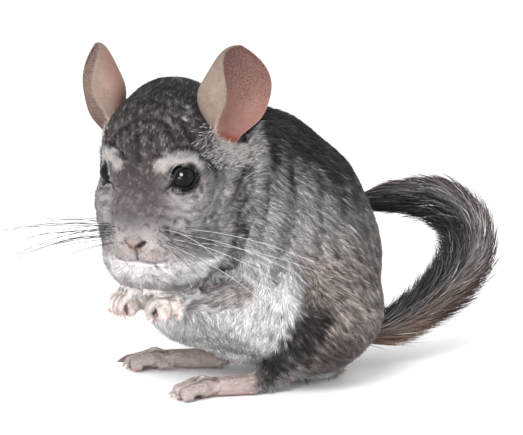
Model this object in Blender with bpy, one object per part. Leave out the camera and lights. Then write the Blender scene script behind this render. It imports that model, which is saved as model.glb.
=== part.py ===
"""A standard grey chinchilla at life size, sitting up on its haunches with its forepaws held
before its chest, its head turned to its left and bent down, and its brush curled up behind it.

The animal faces -Y, +Z is up, its left side is +X, and the origin is the middle of the flat
under its rump. Sizes are worked out from the constants below, in metres.
"""

import math

import bmesh
import bpy
import numpy as np
from mathutils import Matrix, Vector
from mathutils.bvhtree import BVHTree

MM = 0.001
GAP = 0.3 * MM
LIMB_GAP = 0.7 * MM
UP = Vector((0, 0, 1))


def mm(x, y, z):
    """A point or a size in millimetres, as metres."""
    return Vector((x, y, z)) * MM


# The head is measured from its own centre, along its own forward, left and up.
HEAD_CENTRE = mm(11, -83, 102)
HEAD_TURN = math.radians(48)
HEAD_FORWARD = Vector((math.sin(HEAD_TURN), -math.cos(HEAD_TURN), 0))
HEAD_LEFT = Vector((math.cos(HEAD_TURN), math.sin(HEAD_TURN), 0))

# The planes that part the head, the collar of the neck and the trunk.
NECK_LEAN = math.radians(21.5)
HEAD_PLANE = -5 * MM
NECK_PLANE = -14 * MM
THROAT_HEIGHT = 52 * MM

# The skin over the rounded forms of the trunk and head.
SKIN_VOXEL = 2 * MM
SKIN_ROUNDS = 150
HEAD_SKIN_TRIANGLES = 5000
BODY_SKIN_TRIANGLES = 1800

# The eyes: a dark ball in a socket, with a ring of lid round it.
EYE_RADIUS = 6.3 * MM
EYE_PLACE = (15.8, 18.4, 6.5)
EYE_LOOK = (0.66, 0.75, 0.06)
LID_WIDTH = 6.3 * MM
LID_HEIGHT = 5.6 * MM
LID_THICKNESS = 1.3 * MM
LID_FORWARD = 3.0 * MM

# The nose and mouth, on the front of the muzzle.
NOSE_PLACE = (27, 0, -22.5)
NOSE_SIZE = (5.2, 5.8, 4.8)
NOSTRIL_APART = 3.2
NOSTRIL_HEIGHT = -23.4
NOSTRIL_SIZE = (2.4, 1.9, 0.9)
MOUTH_HEIGHT = -33
MOUTH_HALF_WIDTH = 10
GROOVE_RADIUS = 0.7 * MM

# The ears: thin scoops with the inner edge rolled well round.
EAR_LENGTH = 47 * MM
EAR_DEPTH = 0.58
EAR_THICKNESS = 1.2 * MM
EAR_INNER_ROLL = 138
EAR_OUTER_ROLL = 84
LEFT_EAR_WIDTH = 40 * MM
LEFT_EAR_OPENING = math.radians(62)
LEFT_EAR_ROOT = (-11, 28, 21)
LEFT_EAR_TIP = (-20, 40, 69)
RIGHT_EAR_WIDTH = 37 * MM
RIGHT_EAR_OPENING = math.radians(42)
RIGHT_EAR_ROOT = (-11, 32, 20)
RIGHT_EAR_TIP = (-21, 55, 72)

# The whiskers: fine tapered hairs from a pad on each side of the muzzle.
WHISKER_PAD = (12, -21)
WHISKER_PAD_SIZE = (2.6, 5.6, 6)
WHISKER_PAD_TURN = math.radians(48)
WHISKER_RADIUS = 0.42 * MM
WHISKER_TIP_RADIUS = 0.16 * MM
WHISKERS = 6
WHISKER_ROW = 3

# The hind feet: long, flat and narrow, with three long toes and a short inner one.
LEFT_HEEL = mm(33, -31, 0)
LEFT_FOOT_TURN = math.radians(-4)
RIGHT_HEEL = mm(-20, -43, 0)
RIGHT_FOOT_TURN = math.radians(-24)
FOOT_RADIUS = 5.2
TOE_RADIUS = 3.1

# The haunches, parted from the trunk round these ellipsoids.
THIGH_PLACE = (36, -24, 33)
THIGH_SIZE = (25, 37, 32)
THIGH_GROWTH = 1.013

# The arms and hands.
WRIST_RADIUS = 4.6 * MM
ELBOW_RADIUS = 9 * MM
ARM_BOW = (3 * MM, 8 * MM)
LEFT_ELBOW = mm(39, -58, 50)
LEFT_WRIST = mm(29, -82, 47)
RIGHT_ELBOW = mm(-38, -72, 50)
RIGHT_WRIST = mm(6, -97, 47)
FINGER_RADIUS = 1.8

# The tail: the path of its core, and how far its hair reaches at each point of it.
TAIL_PATH = (
    (0, 24, 17),
    (-3, 43, 21),
    (-7, 60, 28),
    (-12, 77, 39),
    (-18, 89, 54),
    (-25, 88, 69),
    (-32, 77, 78),
    (-38, 64, 80),
    (-43, 51, 79),
    (-47, 38, 76),
)
TAIL_REACH = (9, 11, 13, 15.5, 17, 16.5, 14, 10, 7.5, 3)
TAIL_SEGMENTS = 4
TAIL_SIDES = 10
# The core of the tail, as a share of the hair's reach, and how far before the tips it ends.
CORE_SHARE = 0.45
CORE_SHORT = 15 * MM
# The tail's locks: flat tapers that leave the core at a slant and lie over one another.
LOCK_LENGTH = 23 * MM
LOCK_WIDTH = 11.5 * MM
LOCK_THICKNESS = 1.7 * MM
LOCK_SPACING = 9.2 * MM
LOCK_CLEAR = 0.4
LOCKS_ROUND = 5
LOCK_ROOM = 0.53
LOCK_SEED = 5

# Edges that turn more than this stay crisp in the smooth shading.
CRISP_ANGLE = math.radians(55)

# The plain colour of each part, as red, green and blue.
COLOURS = {
    "torso": (0.30, 0.30, 0.31),
    "neck": (0.33, 0.33, 0.34),
    "head": (0.34, 0.33, 0.33),
    "ear": (0.55, 0.38, 0.33),
    "eye": (0.01, 0.01, 0.012),
    "whiskers": (0.10, 0.10, 0.11),
    "thigh": (0.26, 0.24, 0.23),
    "foot": (0.66, 0.60, 0.55),
    "arm": (0.62, 0.61, 0.60),
    "hand": (0.70, 0.64, 0.60),
    "tail": (0.30, 0.27, 0.25),
}


def in_head(forward, left, up):
    """A place in millimetres from the head's centre, as a point of the whole animal."""
    return HEAD_CENTRE + (HEAD_FORWARD * forward + HEAD_LEFT * left + UP * up) * MM


def head_direction(forward, left, up):
    return (HEAD_FORWARD * forward + HEAD_LEFT * left + UP * up).normalized()


def head_matrix(point):
    """The head's own axes (X forward, Y left, Z up) at a point."""
    axes = Matrix((HEAD_FORWARD, HEAD_LEFT, UP)).transposed()
    return Matrix.Translation(point) @ axes.to_4x4()


def clear_scene():
    for obj in list(bpy.data.objects):
        bpy.data.objects.remove(obj)


def new_object(name, mesh):
    obj = bpy.data.objects.new(name, mesh)
    bpy.context.scene.collection.objects.link(obj)
    return obj


def object_from(name, vertices, faces):
    """A mesh object from points and faces, with the faces turned outwards."""
    mesh = bpy.data.meshes.new(name)
    mesh.from_pydata([tuple(v) for v in vertices], [], faces)
    shell = bmesh.new()
    shell.from_mesh(mesh)
    bmesh.ops.recalc_face_normals(shell, faces=shell.faces)
    shell.to_mesh(mesh)
    shell.free()
    return new_object(name, mesh)


def applied(obj):
    """Makes the object's modifiers part of its mesh."""
    bpy.context.view_layer.update()
    graph = bpy.context.evaluated_depsgraph_get()
    mesh = bpy.data.meshes.new_from_object(obj.evaluated_get(graph))
    obj.modifiers.clear()
    obj.data = mesh
    return obj


def copy_of(obj, name):
    twin = new_object(name, obj.data.copy())
    twin.matrix_world = obj.matrix_world
    return twin


def bad_edges(obj):
    """How many edges of a mesh don't lie between just two faces."""
    shell = bmesh.new()
    shell.from_mesh(obj.data)
    count = sum(len(edge.link_faces) != 2 for edge in shell.edges)
    shell.free()
    return count


def combine(obj, other, operation, solvers=("EXACT", "MANIFOLD")):
    """Joins, cuts or crosses obj with another object, which is then removed."""
    before = obj.data
    closed = not bad_edges(obj) and not bad_edges(other)
    for solver in solvers if closed else ("EXACT",):
        obj.data = before
        boolean = obj.modifiers.new("cut", "BOOLEAN")
        boolean.operation = operation
        boolean.object = other
        boolean.solver = solver
        applied(obj)
        if len(obj.data.polygons) and not bad_edges(obj):
            break
    bpy.data.objects.remove(other)
    return obj


def inflated(obj, by):
    """A copy of obj whose surface stands proud by a distance."""
    twin = copy_of(obj, "cutter")
    displace = twin.modifiers.new("proud", "DISPLACE")
    displace.mid_level = 0
    displace.strength = by
    return applied(twin)


def largest_body(obj):
    """Keeps only the largest closed surface of a mesh."""
    shell = bmesh.new()
    shell.from_mesh(obj.data)
    left = set(shell.faces)
    pieces = []
    while left:
        piece = {left.pop()}
        edge_of_piece = list(piece)
        while edge_of_piece:
            face = edge_of_piece.pop()
            for edge in face.edges:
                for near in edge.link_faces:
                    if near in left:
                        left.discard(near)
                        piece.add(near)
                        edge_of_piece.append(near)
        pieces.append(piece)
    pieces.sort(key=lambda piece: sum(face.calc_area() for face in piece))
    scraps = [face for piece in pieces[:-1] for face in piece]
    if scraps:
        bmesh.ops.delete(shell, geom=scraps, context="FACES")
        loose = [v for v in shell.verts if not v.link_faces]
        bmesh.ops.delete(shell, geom=loose, context="VERTS")
    shell.to_mesh(obj.data)
    shell.free()
    return obj


def smooth_path(points, count):
    """Points evenly spaced in parameter along a Catmull-Rom curve through the given points."""
    points = np.array([tuple(p) for p in points], float)
    padded = np.vstack([2 * points[0] - points[1], points, 2 * points[-1] - points[-2]])
    found = []
    for t in np.linspace(0, len(points) - 1 - 1e-9, count):
        i, f = int(t), t - int(t)
        a, b, c, d = padded[i : i + 4]
        found.append(
            0.5 * (2 * b + (c - a) * f + (2 * a - 5 * b + 4 * c - d) * f**2
                   + (3 * b - a - 3 * c + d) * f**3)
        )
    return np.array(found)


def lerp(values, count):
    """The given values spread over count steps, with straight runs between them."""
    return np.interp(np.linspace(0, 1, count), np.linspace(0, 1, len(values)), values)


def frames_along(path, up=(0, 0, 1)):
    """The directions across and above at each point of a path, turning no more than it does."""
    ahead = np.gradient(np.asarray(path, float), axis=0)
    ahead /= np.linalg.norm(ahead, axis=1)[:, None]
    across = [np.cross(ahead[0], np.array(up, float))]
    for direction in ahead:
        turned = across[-1] - direction * np.dot(across[-1], direction)
        across.append(turned / np.linalg.norm(turned))
    across = np.array(across[1:])
    return across, np.cross(across, ahead)


def rings_along(path, radii, sides, up=(0, 0, 1)):
    """Rings of points across a path: radii may be one number or two (wide, high) for each point."""
    path = np.asarray(path, float)
    across, above = frames_along(path, up)
    radii = np.asarray(radii, float)
    wide, high = (radii, radii) if radii.ndim == 1 else radii.T
    turn = np.linspace(0, 2 * math.pi, sides, endpoint=False)
    return (
        path[:, None]
        + across[:, None] * (wide[:, None] * np.cos(turn))[..., None]
        + above[:, None] * (high[:, None] * np.sin(turn))[..., None]
    )


def tube(name, rings):
    """A closed tube through rings of points, with a point in the middle of each end."""
    count, sides, _ = rings.shape
    vertices = [*rings.reshape(-1, 3), rings[0].mean(0), rings[-1].mean(0)]
    faces = []
    for i in range(count - 1):
        for j in range(sides):
            k = (j + 1) % sides
            faces.append((i * sides + j, i * sides + k, (i + 1) * sides + k, (i + 1) * sides + j))
    for j in range(sides):
        k = (j + 1) % sides
        faces.append((j, k, count * sides))
        faces.append(((count - 1) * sides + j, (count - 1) * sides + k, count * sides + 1))
    return object_from(name, vertices, faces)


def box(name, matrix, size):
    """A box centred on a matrix, to cut with."""
    shell = bmesh.new()
    bmesh.ops.create_cube(shell, size=1, matrix=matrix @ Matrix.Diagonal((*size, 1)))
    mesh = bpy.data.meshes.new(name)
    shell.to_mesh(mesh)
    shell.free()
    return new_object(name, mesh)


def ball(name, matrix, radii, subdivisions=3):
    shell = bmesh.new()
    bmesh.ops.create_icosphere(
        shell, subdivisions=subdivisions, radius=1, matrix=matrix @ Matrix.Diagonal((*radii, 1))
    )
    mesh = bpy.data.meshes.new(name)
    shell.to_mesh(mesh)
    shell.free()
    return new_object(name, mesh)


def body_forms():
    """The rounded masses of the trunk: (matrix, radii) of each ellipsoid."""
    place = Matrix.Translation
    forms = [
        (place(mm(0, -21, 60)), mm(52, 57, 58)),
        (place(mm(0, -9, 31)), mm(43, 35, 41)),
        (place(mm(0, -34, 98)), mm(37, 45, 43)),
        (place(mm(0, -19, 84)), mm(43, 46, 44)),
        (place(mm(-3, -60, 50)), mm(38, 35, 37)),
    ]
    for side in (1, -1):
        forms.append((place(mm(35 * side, -14, 40)), mm(26, 41, 35)))
    return forms


def head_forms():
    """The rounded masses of the head, in its own axes."""
    forms = [
        (head_matrix(in_head(-4, 0, 16)), mm(31, 33, 33)),
        (head_matrix(in_head(-15, 0, 32)), mm(21, 28, 22)),
        (head_matrix(in_head(10, 0, -12)), mm(22, 22, 23)),
        (head_matrix(in_head(8, 0, -32)), mm(20, 22, 14)),
        (head_matrix(in_head(0, 0, -36)), mm(26, 33, 22)),
    ]
    for side in (1, -1):
        forms.append((head_matrix(in_head(-4, 14 * side, -14)), mm(27, 22, 31)))
        forms.append((head_matrix(in_head(-17, 16 * side, -6)), mm(22, 24, 34)))
        forms.append((head_matrix(in_head(16, 9 * side, -23)), mm(13, 11, 11)))
        forms.append((head_matrix(in_head(10, 17 * side, 15)), mm(12, 9, 8)))
    return forms


def blended(name, forms, voxel, rounds):
    """One skin over overlapping ellipsoids, with the creases between them smoothed away."""
    shell = bmesh.new()
    for matrix, radii in forms:
        bmesh.ops.create_icosphere(
            shell, subdivisions=4, radius=1, matrix=matrix @ Matrix.Diagonal((*radii, 1))
        )
    mesh = bpy.data.meshes.new(name)
    shell.to_mesh(mesh)
    shell.free()
    obj = new_object(name, mesh)
    remesh = obj.modifiers.new("skin", "REMESH")
    remesh.mode = "VOXEL"
    remesh.voxel_size = voxel
    applied(obj)
    group = obj.vertex_groups.new(name="away_from_face")
    face = in_head(16, 0, -8)
    for vertex in obj.data.vertices:
        away = ((vertex.co - face).length - 30 * MM) / (30 * MM)
        group.add([vertex.index], min(max(away, 0.1), 1.0), "REPLACE")
    smooth = obj.modifiers.new("blend", "SMOOTH")
    smooth.factor = 0.5
    smooth.iterations = rounds
    smooth.vertex_group = "away_from_face"
    return applied(obj)


def ear(name, side, root, tip, width, opening):
    """A scoop rolled about its long axis: nearly shut at the root, opening to a round tip."""
    rows, columns = 11, 13
    along = np.sin(np.linspace(0, math.pi / 2, rows))[:, None]
    stations = [0, 0.12, 0.3, 0.5, 0.68, 0.84, 0.94, 1]
    wide = np.interp(along, stations, [0.40, 0.66, 0.92, 1.03, 1.0, 0.86, 0.64, 0.38]) * width / 2
    inner = np.interp(along, stations, [160, 152, 146, EAR_INNER_ROLL, 112, 88, 76, 66])
    outer = np.interp(along, stations, [150, 125, 98, EAR_OUTER_ROLL, 80, 78, 74, 66])
    angle = np.radians(-inner + (inner + outer) * np.linspace(0, 1, columns)[None])
    # In the ear's own axes: X out of the cup, Y to its outer side, Z along its length.
    x = -EAR_DEPTH * wide * np.cos(angle)
    y = wide * np.sin(angle)
    edge = np.abs(np.linspace(-1, 1, columns)[None])
    z = (along - 0.10 * along * edge**2) * EAR_LENGTH
    sheet = np.stack(np.broadcast_arrays(x, y, z), -1)
    normal = np.cross(np.gradient(sheet, axis=1), np.gradient(sheet, axis=0))
    normal /= np.linalg.norm(normal, axis=-1)[..., None]
    half = 0.5 * EAR_THICKNESS * np.interp(edge, [0, 1], [1, 0.55])[..., None]
    inside = (sheet + normal * half).reshape(-1, 3)
    outside = (sheet - normal * half).reshape(-1, 3)
    vertices = np.concatenate([inside, outside])
    faces = []
    other = rows * columns
    for i in range(rows - 1):
        for j in range(columns - 1):
            a = i * columns + j
            b, c, d = a + 1, a + columns + 1, a + columns
            faces.append((a, b, c, d))
            faces.append((other + d, other + c, other + b, other + a))
    rim = [i * columns for i in range(rows)]
    rim += [(rows - 1) * columns + j for j in range(1, columns)]
    rim += [i * columns + columns - 1 for i in range(rows - 2, -1, -1)]
    rim += [j for j in range(columns - 2, 0, -1)]
    for a, b in zip(rim, rim[1:] + rim[:1]):
        faces.append((a, b, other + b, other + a))
    root = in_head(root[0], root[1] * side, root[2])
    tip = in_head(tip[0], tip[1] * side, tip[2])
    length = (tip - root).normalized()
    opening = head_direction(math.cos(opening), math.sin(opening) * side, 0)
    opening = (opening - length * opening.dot(length)).normalized()
    outward = length.cross(opening) * side
    axes = Matrix((opening, outward, length)).transposed()
    return object_from(name, vertices @ np.array(axes).T + np.array(root), faces)


def whiskers(name, side, head):
    """A low pad on the side of the muzzle with its long hairs, each drooping to its tip."""
    tree = BVHTree.FromObject(head, bpy.context.evaluated_depsgraph_get())
    left, up = WHISKER_PAD
    middle = face_point(tree, left * side, up, 1.4)
    turned = Matrix.Rotation(WHISKER_PAD_TURN * side, 4, "Z")
    pad = ball(name, head_matrix(middle) @ turned, mm(*WHISKER_PAD_SIZE), 3)
    for n in range(WHISKERS):
        row, column = divmod(n, WHISKER_ROW)
        root = middle + (HEAD_FORWARD * (2.1 - 1.5 * column) + HEAD_LEFT * (1.6 * column - 2.4) * side) * MM
        root = root + UP * (1.8 - 3.0 * row) * MM
        spread = math.radians(54 + 9 * column + 4 * row)
        away = head_direction(math.cos(spread), math.sin(spread) * side, 0.08 - 0.16 * row + 0.04 * column)
        length = (50 + 7 * column - 5 * row) * MM
        points = [root + away * length * t - UP * 11 * t * t * MM for t in (0, 0.35, 0.7, 1)]
        path = smooth_path(points, 7)
        hair = tube("hair", rings_along(path, lerp([WHISKER_RADIUS, WHISKER_TIP_RADIUS], 7), 5))
        combine(pad, hair, "UNION")
    return pad


def claw(base, ahead, length, radius):
    """A small curved point, drooping a little."""
    path = smooth_path([base, base + ahead * length * 0.6, base + ahead * length - UP * length * 0.35], 4)
    return tube("claw", rings_along(path, lerp([radius, radius * 0.75, radius * 0.25], 4), 6))


def foot(name, heel, turn, side):
    """A long flat hind foot: a sole from heel to toes, three long toes and a short inner one."""
    spine = np.array([(0, 6, 6), (0, 0, 5.5), (0, -12, 5), (0, -24, 5), (0, -36, 5.2), (0, -42, 5)])
    sizes = np.array([(0.6, 0.7), (1.04, 1.0), (1, 0.96), (0.96, 0.9), (1.15, 0.92), (0.87, 0.7)])
    sole = tube(name, rings_along(spine * MM, sizes * FOOT_RADIUS * MM, 12))
    toes = [(-4.4, -36, -46), (0, -38, -51), (4.4, -36, -47)]
    for x, start, end in toes:
        points = [mm(x * 0.8, start, 5), mm(x, (start + end) / 2, 6), mm(x * 1.1, end, 3.4)]
        path = smooth_path(points, 5)
        toe = tube("toe", rings_along(path, np.array([0.85, 1, 1, 1, 0.6]) * TOE_RADIUS * MM, 6))
        combine(sole, toe, "UNION")
        combine(sole, claw(mm(x * 1.1, end + 1.4, 3.6), Vector((0, -1, 0)), 3.4 * MM, 0.9 * MM), "UNION")
    points = [mm(-4.0 * side, -22, 4), mm(-6.6 * side, -26, 3.4), mm(-7.4 * side, -31, 2.6)]
    inner = tube("toe", rings_along(smooth_path(points, 4), np.array([2.2, 2.4, 2.3, 1.2]) * MM, 8))
    combine(sole, inner, "UNION")
    combine(sole, box("floor", Matrix.Translation(mm(0, -20, -10)), mm(60, 120, 20)), "DIFFERENCE")
    sole.data.transform(Matrix.Translation(heel) @ Matrix.Rotation(turn, 4, "Z"))
    return sole


def arm(name, elbow, wrist, side, bow):
    """The forearm, from the shoulder inside the chest past the elbow and round it to the wrist."""
    shoulder = elbow + mm(-18 * side, 16, 10)
    middle = elbow.lerp(wrist, 0.5) - UP * 2 * MM
    outward = (middle - Vector((0, -30 * MM, middle.z))).normalized()
    path = smooth_path([shoulder, elbow, middle + outward * bow, wrist], 10)
    radii = lerp([ELBOW_RADIUS, ELBOW_RADIUS, WRIST_RADIUS * 1.4, WRIST_RADIUS], 10)
    return tube(name, rings_along(path, radii, 14))


def hand(name, wrist, side):
    """A small paw with four fingers curled down and in."""
    base = wrist + HEAD_FORWARD * 6 * MM - HEAD_LEFT * 2 * side * MM
    palm = ball(name, head_matrix(base - HEAD_FORWARD * 2 * MM), mm(6, 5.6, 4.6), 2)
    for n in range(4):
        spread = HEAD_LEFT * (n - 1.5) * 2.5 * MM
        points = [
            base + spread * 0.7,
            base + spread + HEAD_FORWARD * 4.5 * MM + UP * 1 * MM,
            base + spread * 1.15 + HEAD_FORWARD * 7.5 * MM - UP * 3 * MM,
            base + spread * 1.1 + HEAD_FORWARD * 6.5 * MM - UP * 7 * MM,
        ]
        radii = lerp([1, 1, 0.9, 0.5], 6) * FINGER_RADIUS * MM
        finger = tube("finger", rings_along(smooth_path(points, 6), radii, 5, up=tuple(HEAD_LEFT)))
        combine(palm, finger, "UNION")
    return palm


class Brush:
    """The tail's path measured along its length, with the reach of its hair at each place."""

    def __init__(self):
        self.path = smooth_path(TAIL_PATH, 181) * MM
        steps = np.linalg.norm(np.diff(self.path, axis=0), axis=1)
        self.along = np.concatenate([[0], np.cumsum(steps)])
        self.length = self.along[-1]
        self.across, self.above = frames_along(self.path)
        self.reaches = lerp(TAIL_REACH, 181) * MM

    def reach(self, along):
        return np.interp(along, self.along, self.reaches)

    def point(self, along, turn, radius):
        """A point at a length along the tail, turned round it, at a radius from its middle."""
        parts = []
        for table in (self.path, self.across, self.above):
            parts.append(np.array([np.interp(along, self.along, table[:, k]) for k in range(3)]))
        middle, across, above = parts
        return middle + (across * math.cos(turn) + above * math.sin(turn)) * radius


def lock(brush, root, turn, length, grow):
    """A flat taper: its middle slants from inside the core out to the reach of the hair."""
    vertices = []
    length = min(length, brush.length - root)
    widths = (0.55, 0.95, 1.0, 0.72)
    for n, wide in enumerate(widths):
        t = n / len(widths)
        along = root + length * t
        reach = brush.reach(along) * grow
        inside = 0.25 * reach
        radius = inside + (reach - inside) * t**0.85
        half = min(LOCK_WIDTH * wide / 2, LOCK_ROOM * radius)
        thick = LOCK_THICKNESS * (1 - 0.45 * t) / 2
        side = half / radius
        vertices.append(brush.point(along, turn, radius + thick))
        vertices.append(brush.point(along, turn + side, radius))
        vertices.append(brush.point(along, turn, radius - thick))
        vertices.append(brush.point(along, turn - side, radius))
    end = root + length
    vertices.append(brush.point(end, turn, brush.reach(end) * grow))
    faces = [(3, 2, 1, 0)]
    for n in range(len(widths) - 1):
        for j in range(4):
            k = (j + 1) % 4
            faces.append((n * 4 + j, n * 4 + k, n * 4 + 4 + k, n * 4 + 4 + j))
    last = 4 * (len(widths) - 1)
    for j in range(4):
        faces.append((last + j, last + (j + 1) % 4, last + 4))
    return object_from("lock", vertices, faces)


def united(obj, others):
    """Joins a whole collection of closed pieces to obj by one union."""
    group = bpy.data.collections.new("pieces")
    for other in others:
        group.objects.link(other)
    before = obj.data
    for solver in ("EXACT", "MANIFOLD"):
        obj.data = before
        boolean = obj.modifiers.new("union", "BOOLEAN")
        boolean.operation = "UNION"
        boolean.operand_type = "COLLECTION"
        boolean.collection = group
        boolean.solver = solver
        applied(obj)
        if not bad_edges(obj):
            break
    for other in others:
        bpy.data.objects.remove(other)
    bpy.data.collections.remove(group)
    return obj


def tail():
    """The tail in lengths that meet face to face: a slim core with its locks."""
    brush = Brush()
    rng = np.random.default_rng(LOCK_SEED)
    core_length = brush.length - CORE_SHORT
    ends = np.linspace(0, core_length, TAIL_SEGMENTS + 1)
    clear = LOCK_CLEAR * LOCK_LENGTH
    lengths = []
    for n in range(TAIL_SEGMENTS):
        start, end = ends[n] + (GAP if n else 0), ends[n + 1]
        stations = np.linspace(start, end, 7)
        path = np.array([brush.point(along, 0, 0) for along in stations])
        core = tube(f"tail_{n + 1}", rings_along(path, brush.reach(stations) * CORE_SHARE, TAIL_SIDES))
        last = end if n == TAIL_SEGMENTS - 1 else end - clear
        rows = max(2, round((last - start) / LOCK_SPACING) + 1)
        locks = []
        for row, root in enumerate(np.linspace(start + 0.5 * MM, last - 0.5 * MM, rows)):
            for k in range(LOCKS_ROUND):
                turn = 2 * math.pi * (k + 0.5 * (row % 2) + rng.uniform(-0.08, 0.08)) / LOCKS_ROUND
                length = LOCK_LENGTH * rng.uniform(0.92, 1.08)
                locks.append(lock(brush, root, turn, length, rng.uniform(0.95, 1.0)))
        lengths.append(largest_body(united(core, locks)))
    for before, after in zip(lengths, lengths[1:]):
        combine(after, inflated(before, GAP), "DIFFERENCE", ("MANIFOLD", "EXACT"))
        largest_body(after)
    return lengths


def lid_ring(side):
    """The ring of lid round an eye, a little wider than high."""
    look = head_direction(EYE_LOOK[0], EYE_LOOK[1] * side, EYE_LOOK[2])
    across = look.cross(UP).normalized()
    above = across.cross(look)
    centre = eye_centre(side) + look * LID_FORWARD
    turns = np.linspace(0, 2 * math.pi, 24, endpoint=False)
    rings = []
    for turn in turns:
        out = across * math.cos(turn) * LID_WIDTH + above * math.sin(turn) * LID_HEIGHT
        away = out.normalized()
        ring = []
        for spot in np.linspace(0, 2 * math.pi, 8, endpoint=False):
            ring.append(centre + out + (away * math.cos(spot) + look * math.sin(spot)) * LID_THICKNESS)
        rings.append(ring)
    vertices = [point for ring in rings for point in ring]
    faces = []
    for i in range(24):
        for j in range(8):
            k, m = (i + 1) % 24, (j + 1) % 8
            faces.append((i * 8 + j, i * 8 + m, k * 8 + m, k * 8 + j))
    return object_from("lid", vertices, faces)


def eye_centre(side):
    return in_head(EYE_PLACE[0], EYE_PLACE[1] * side, EYE_PLACE[2])


def fewer(obj, triangles):
    """Thins a mesh to about the given number of triangles."""
    count = sum(len(face.vertices) - 2 for face in obj.data.polygons)
    decimate = obj.modifiers.new("fewer", "DECIMATE")
    decimate.ratio = min(1.0, triangles / count)
    return applied(obj)


def face_point(tree, left, up, deep=0.0):
    """The point of the face's surface straight in front of a place, or a little way under it."""
    hit = tree.ray_cast(in_head(80, left, up), -HEAD_FORWARD)[0]
    return hit - HEAD_FORWARD * deep * MM


def carve_face(head):
    """Cuts the nostrils, the cleft of the lip and the line of the mouth into the muzzle."""
    tree = BVHTree.FromObject(head, bpy.context.evaluated_depsgraph_get())
    mouth = []
    for t in np.linspace(-1, 1, 11):
        mouth.append(face_point(tree, MOUTH_HALF_WIDTH * t, MOUTH_HEIGHT - 1.8 * t * t + 0.8 * abs(t), 0.1))
    cleft = [face_point(tree, 0, up, 0.1) for up in (-27.5, -29.5, -31.5, MOUTH_HEIGHT)]
    grooves = [(mouth, 15), (cleft, 7)]
    for points, count in grooves:
        path = smooth_path(points, count)
        radii = GROOVE_RADIUS * np.sin(np.linspace(0.5, math.pi - 0.5, count))
        combine(head, tube("groove", rings_along(path, radii, 6, up=tuple(HEAD_FORWARD))), "DIFFERENCE")
    for side in (1, -1):
        point = face_point(tree, NOSTRIL_APART * side, NOSTRIL_HEIGHT, 0.4)
        lean = Matrix.Rotation(math.radians(-28 * side), 4, "X")
        nostril = ball("nostril", head_matrix(point) @ lean, mm(*NOSTRIL_SIZE), 2)
        combine(head, nostril, "DIFFERENCE")
    return head


def half_space(name, point, normal, size=0.4):
    """A box that fills the space behind a plane, on the side that its normal points to."""
    turn = normal.to_track_quat("Z", "Y").to_matrix().to_4x4()
    return box(name, Matrix.Translation(point) @ turn @ Matrix.Translation((0, 0, size / 2)),
               (size, size, size))


def head_room(name, offset, top=False):
    """The space in front of a leaning plane at an offset from the head's centre, above the throat."""
    lean = head_direction(math.cos(NECK_LEAN), 0, math.sin(NECK_LEAN))
    room = half_space(name, HEAD_CENTRE + lean * offset, lean)
    throat = THROAT_HEIGHT - GAP if top else THROAT_HEIGHT
    return combine(room, half_space("throat", Vector((0, 0, throat)), UP), "INTERSECT")


def paint(obj):
    """Gives a part its own plain material, named after it."""
    material = bpy.data.materials.new(obj.name + "_material")
    material.use_nodes = True
    shader = material.node_tree.nodes["Principled BSDF"]
    kind = obj.name.split("_")[0]
    shader.inputs["Base Color"].default_value = (*COLOURS[kind], 1)
    shader.inputs["Roughness"].default_value = 0.1 if kind == "eye" else 0.8
    obj.data.materials.clear()
    obj.data.materials.append(material)


def shade_smooth(obj):
    """Rounds the shading of a part, but keeps the edges of its cut faces crisp."""
    obj.data.polygons.foreach_set("use_smooth", [True] * len(obj.data.polygons))
    obj.data.set_sharp_from_angle(angle=CRISP_ANGLE)


clear_scene()
sides = ((1, "left"), (-1, "right"))

# The trunk, neck and head are cut from one skin.
skin = blended("skin", body_forms() + head_forms(), SKIN_VOXEL, SKIN_ROUNDS)
combine(skin, box("floor", Matrix.Translation(mm(0, 0, -20)), mm(300, 300, 40)), "DIFFERENCE")
fine = fewer(copy_of(skin, "fine"), HEAD_SKIN_TRIANGLES)
plain = fewer(copy_of(skin, "plain"), BODY_SKIN_TRIANGLES)
head = combine(copy_of(fine, "head"), head_room("front", HEAD_PLANE), "INTERSECT")
neck = combine(copy_of(plain, "neck"), head_room("front", NECK_PLANE), "INTERSECT")
combine(neck, head_room("front", HEAD_PLANE - GAP), "DIFFERENCE")
torso = combine(copy_of(plain, "torso"), head_room("front", NECK_PLANE - GAP, top=True), "DIFFERENCE")
for guide in (skin, fine, plain):
    bpy.data.objects.remove(guide)

# The face.
combine(head, ball("nose", head_matrix(in_head(*NOSE_PLACE)), mm(*NOSE_SIZE), 2), "UNION")
carve_face(head)
for side, name in sides:
    eye = ball("eye_" + name, head_matrix(eye_centre(side)), [EYE_RADIUS] * 3, 3)
    combine(head, lid_ring(side), "UNION")
    combine(head, ball("socket", head_matrix(eye_centre(side)), [EYE_RADIUS + GAP] * 3, 3), "DIFFERENCE")
largest_body(head)

# The haunches.
thighs = []
for side, name in sides:
    x, y, z = THIGH_PLACE
    place = Matrix.Translation(mm(x * side, y, z))
    form = ball("form", place, mm(*THIGH_SIZE), 3)
    thigh = combine(copy_of(torso, "thigh_" + name), form, "INTERSECT")
    thighs.append(largest_body(thigh))
for side, name in sides:
    x, y, z = THIGH_PLACE
    place = Matrix.Translation(mm(x * side, y, z))
    combine(torso, ball("form", place, mm(*THIGH_SIZE) * THIGH_GROWTH, 3), "DIFFERENCE")
largest_body(torso)

# The ears.
ears = [
    ear("ear_left", 1, LEFT_EAR_ROOT, LEFT_EAR_TIP, LEFT_EAR_WIDTH, LEFT_EAR_OPENING),
    ear("ear_right", -1, RIGHT_EAR_ROOT, RIGHT_EAR_TIP, RIGHT_EAR_WIDTH, RIGHT_EAR_OPENING),
]
for piece in ears:
    for other in (head, neck, torso):
        combine(piece, inflated(other, GAP), "DIFFERENCE", ("MANIFOLD", "EXACT"))
    largest_body(piece)

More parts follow.
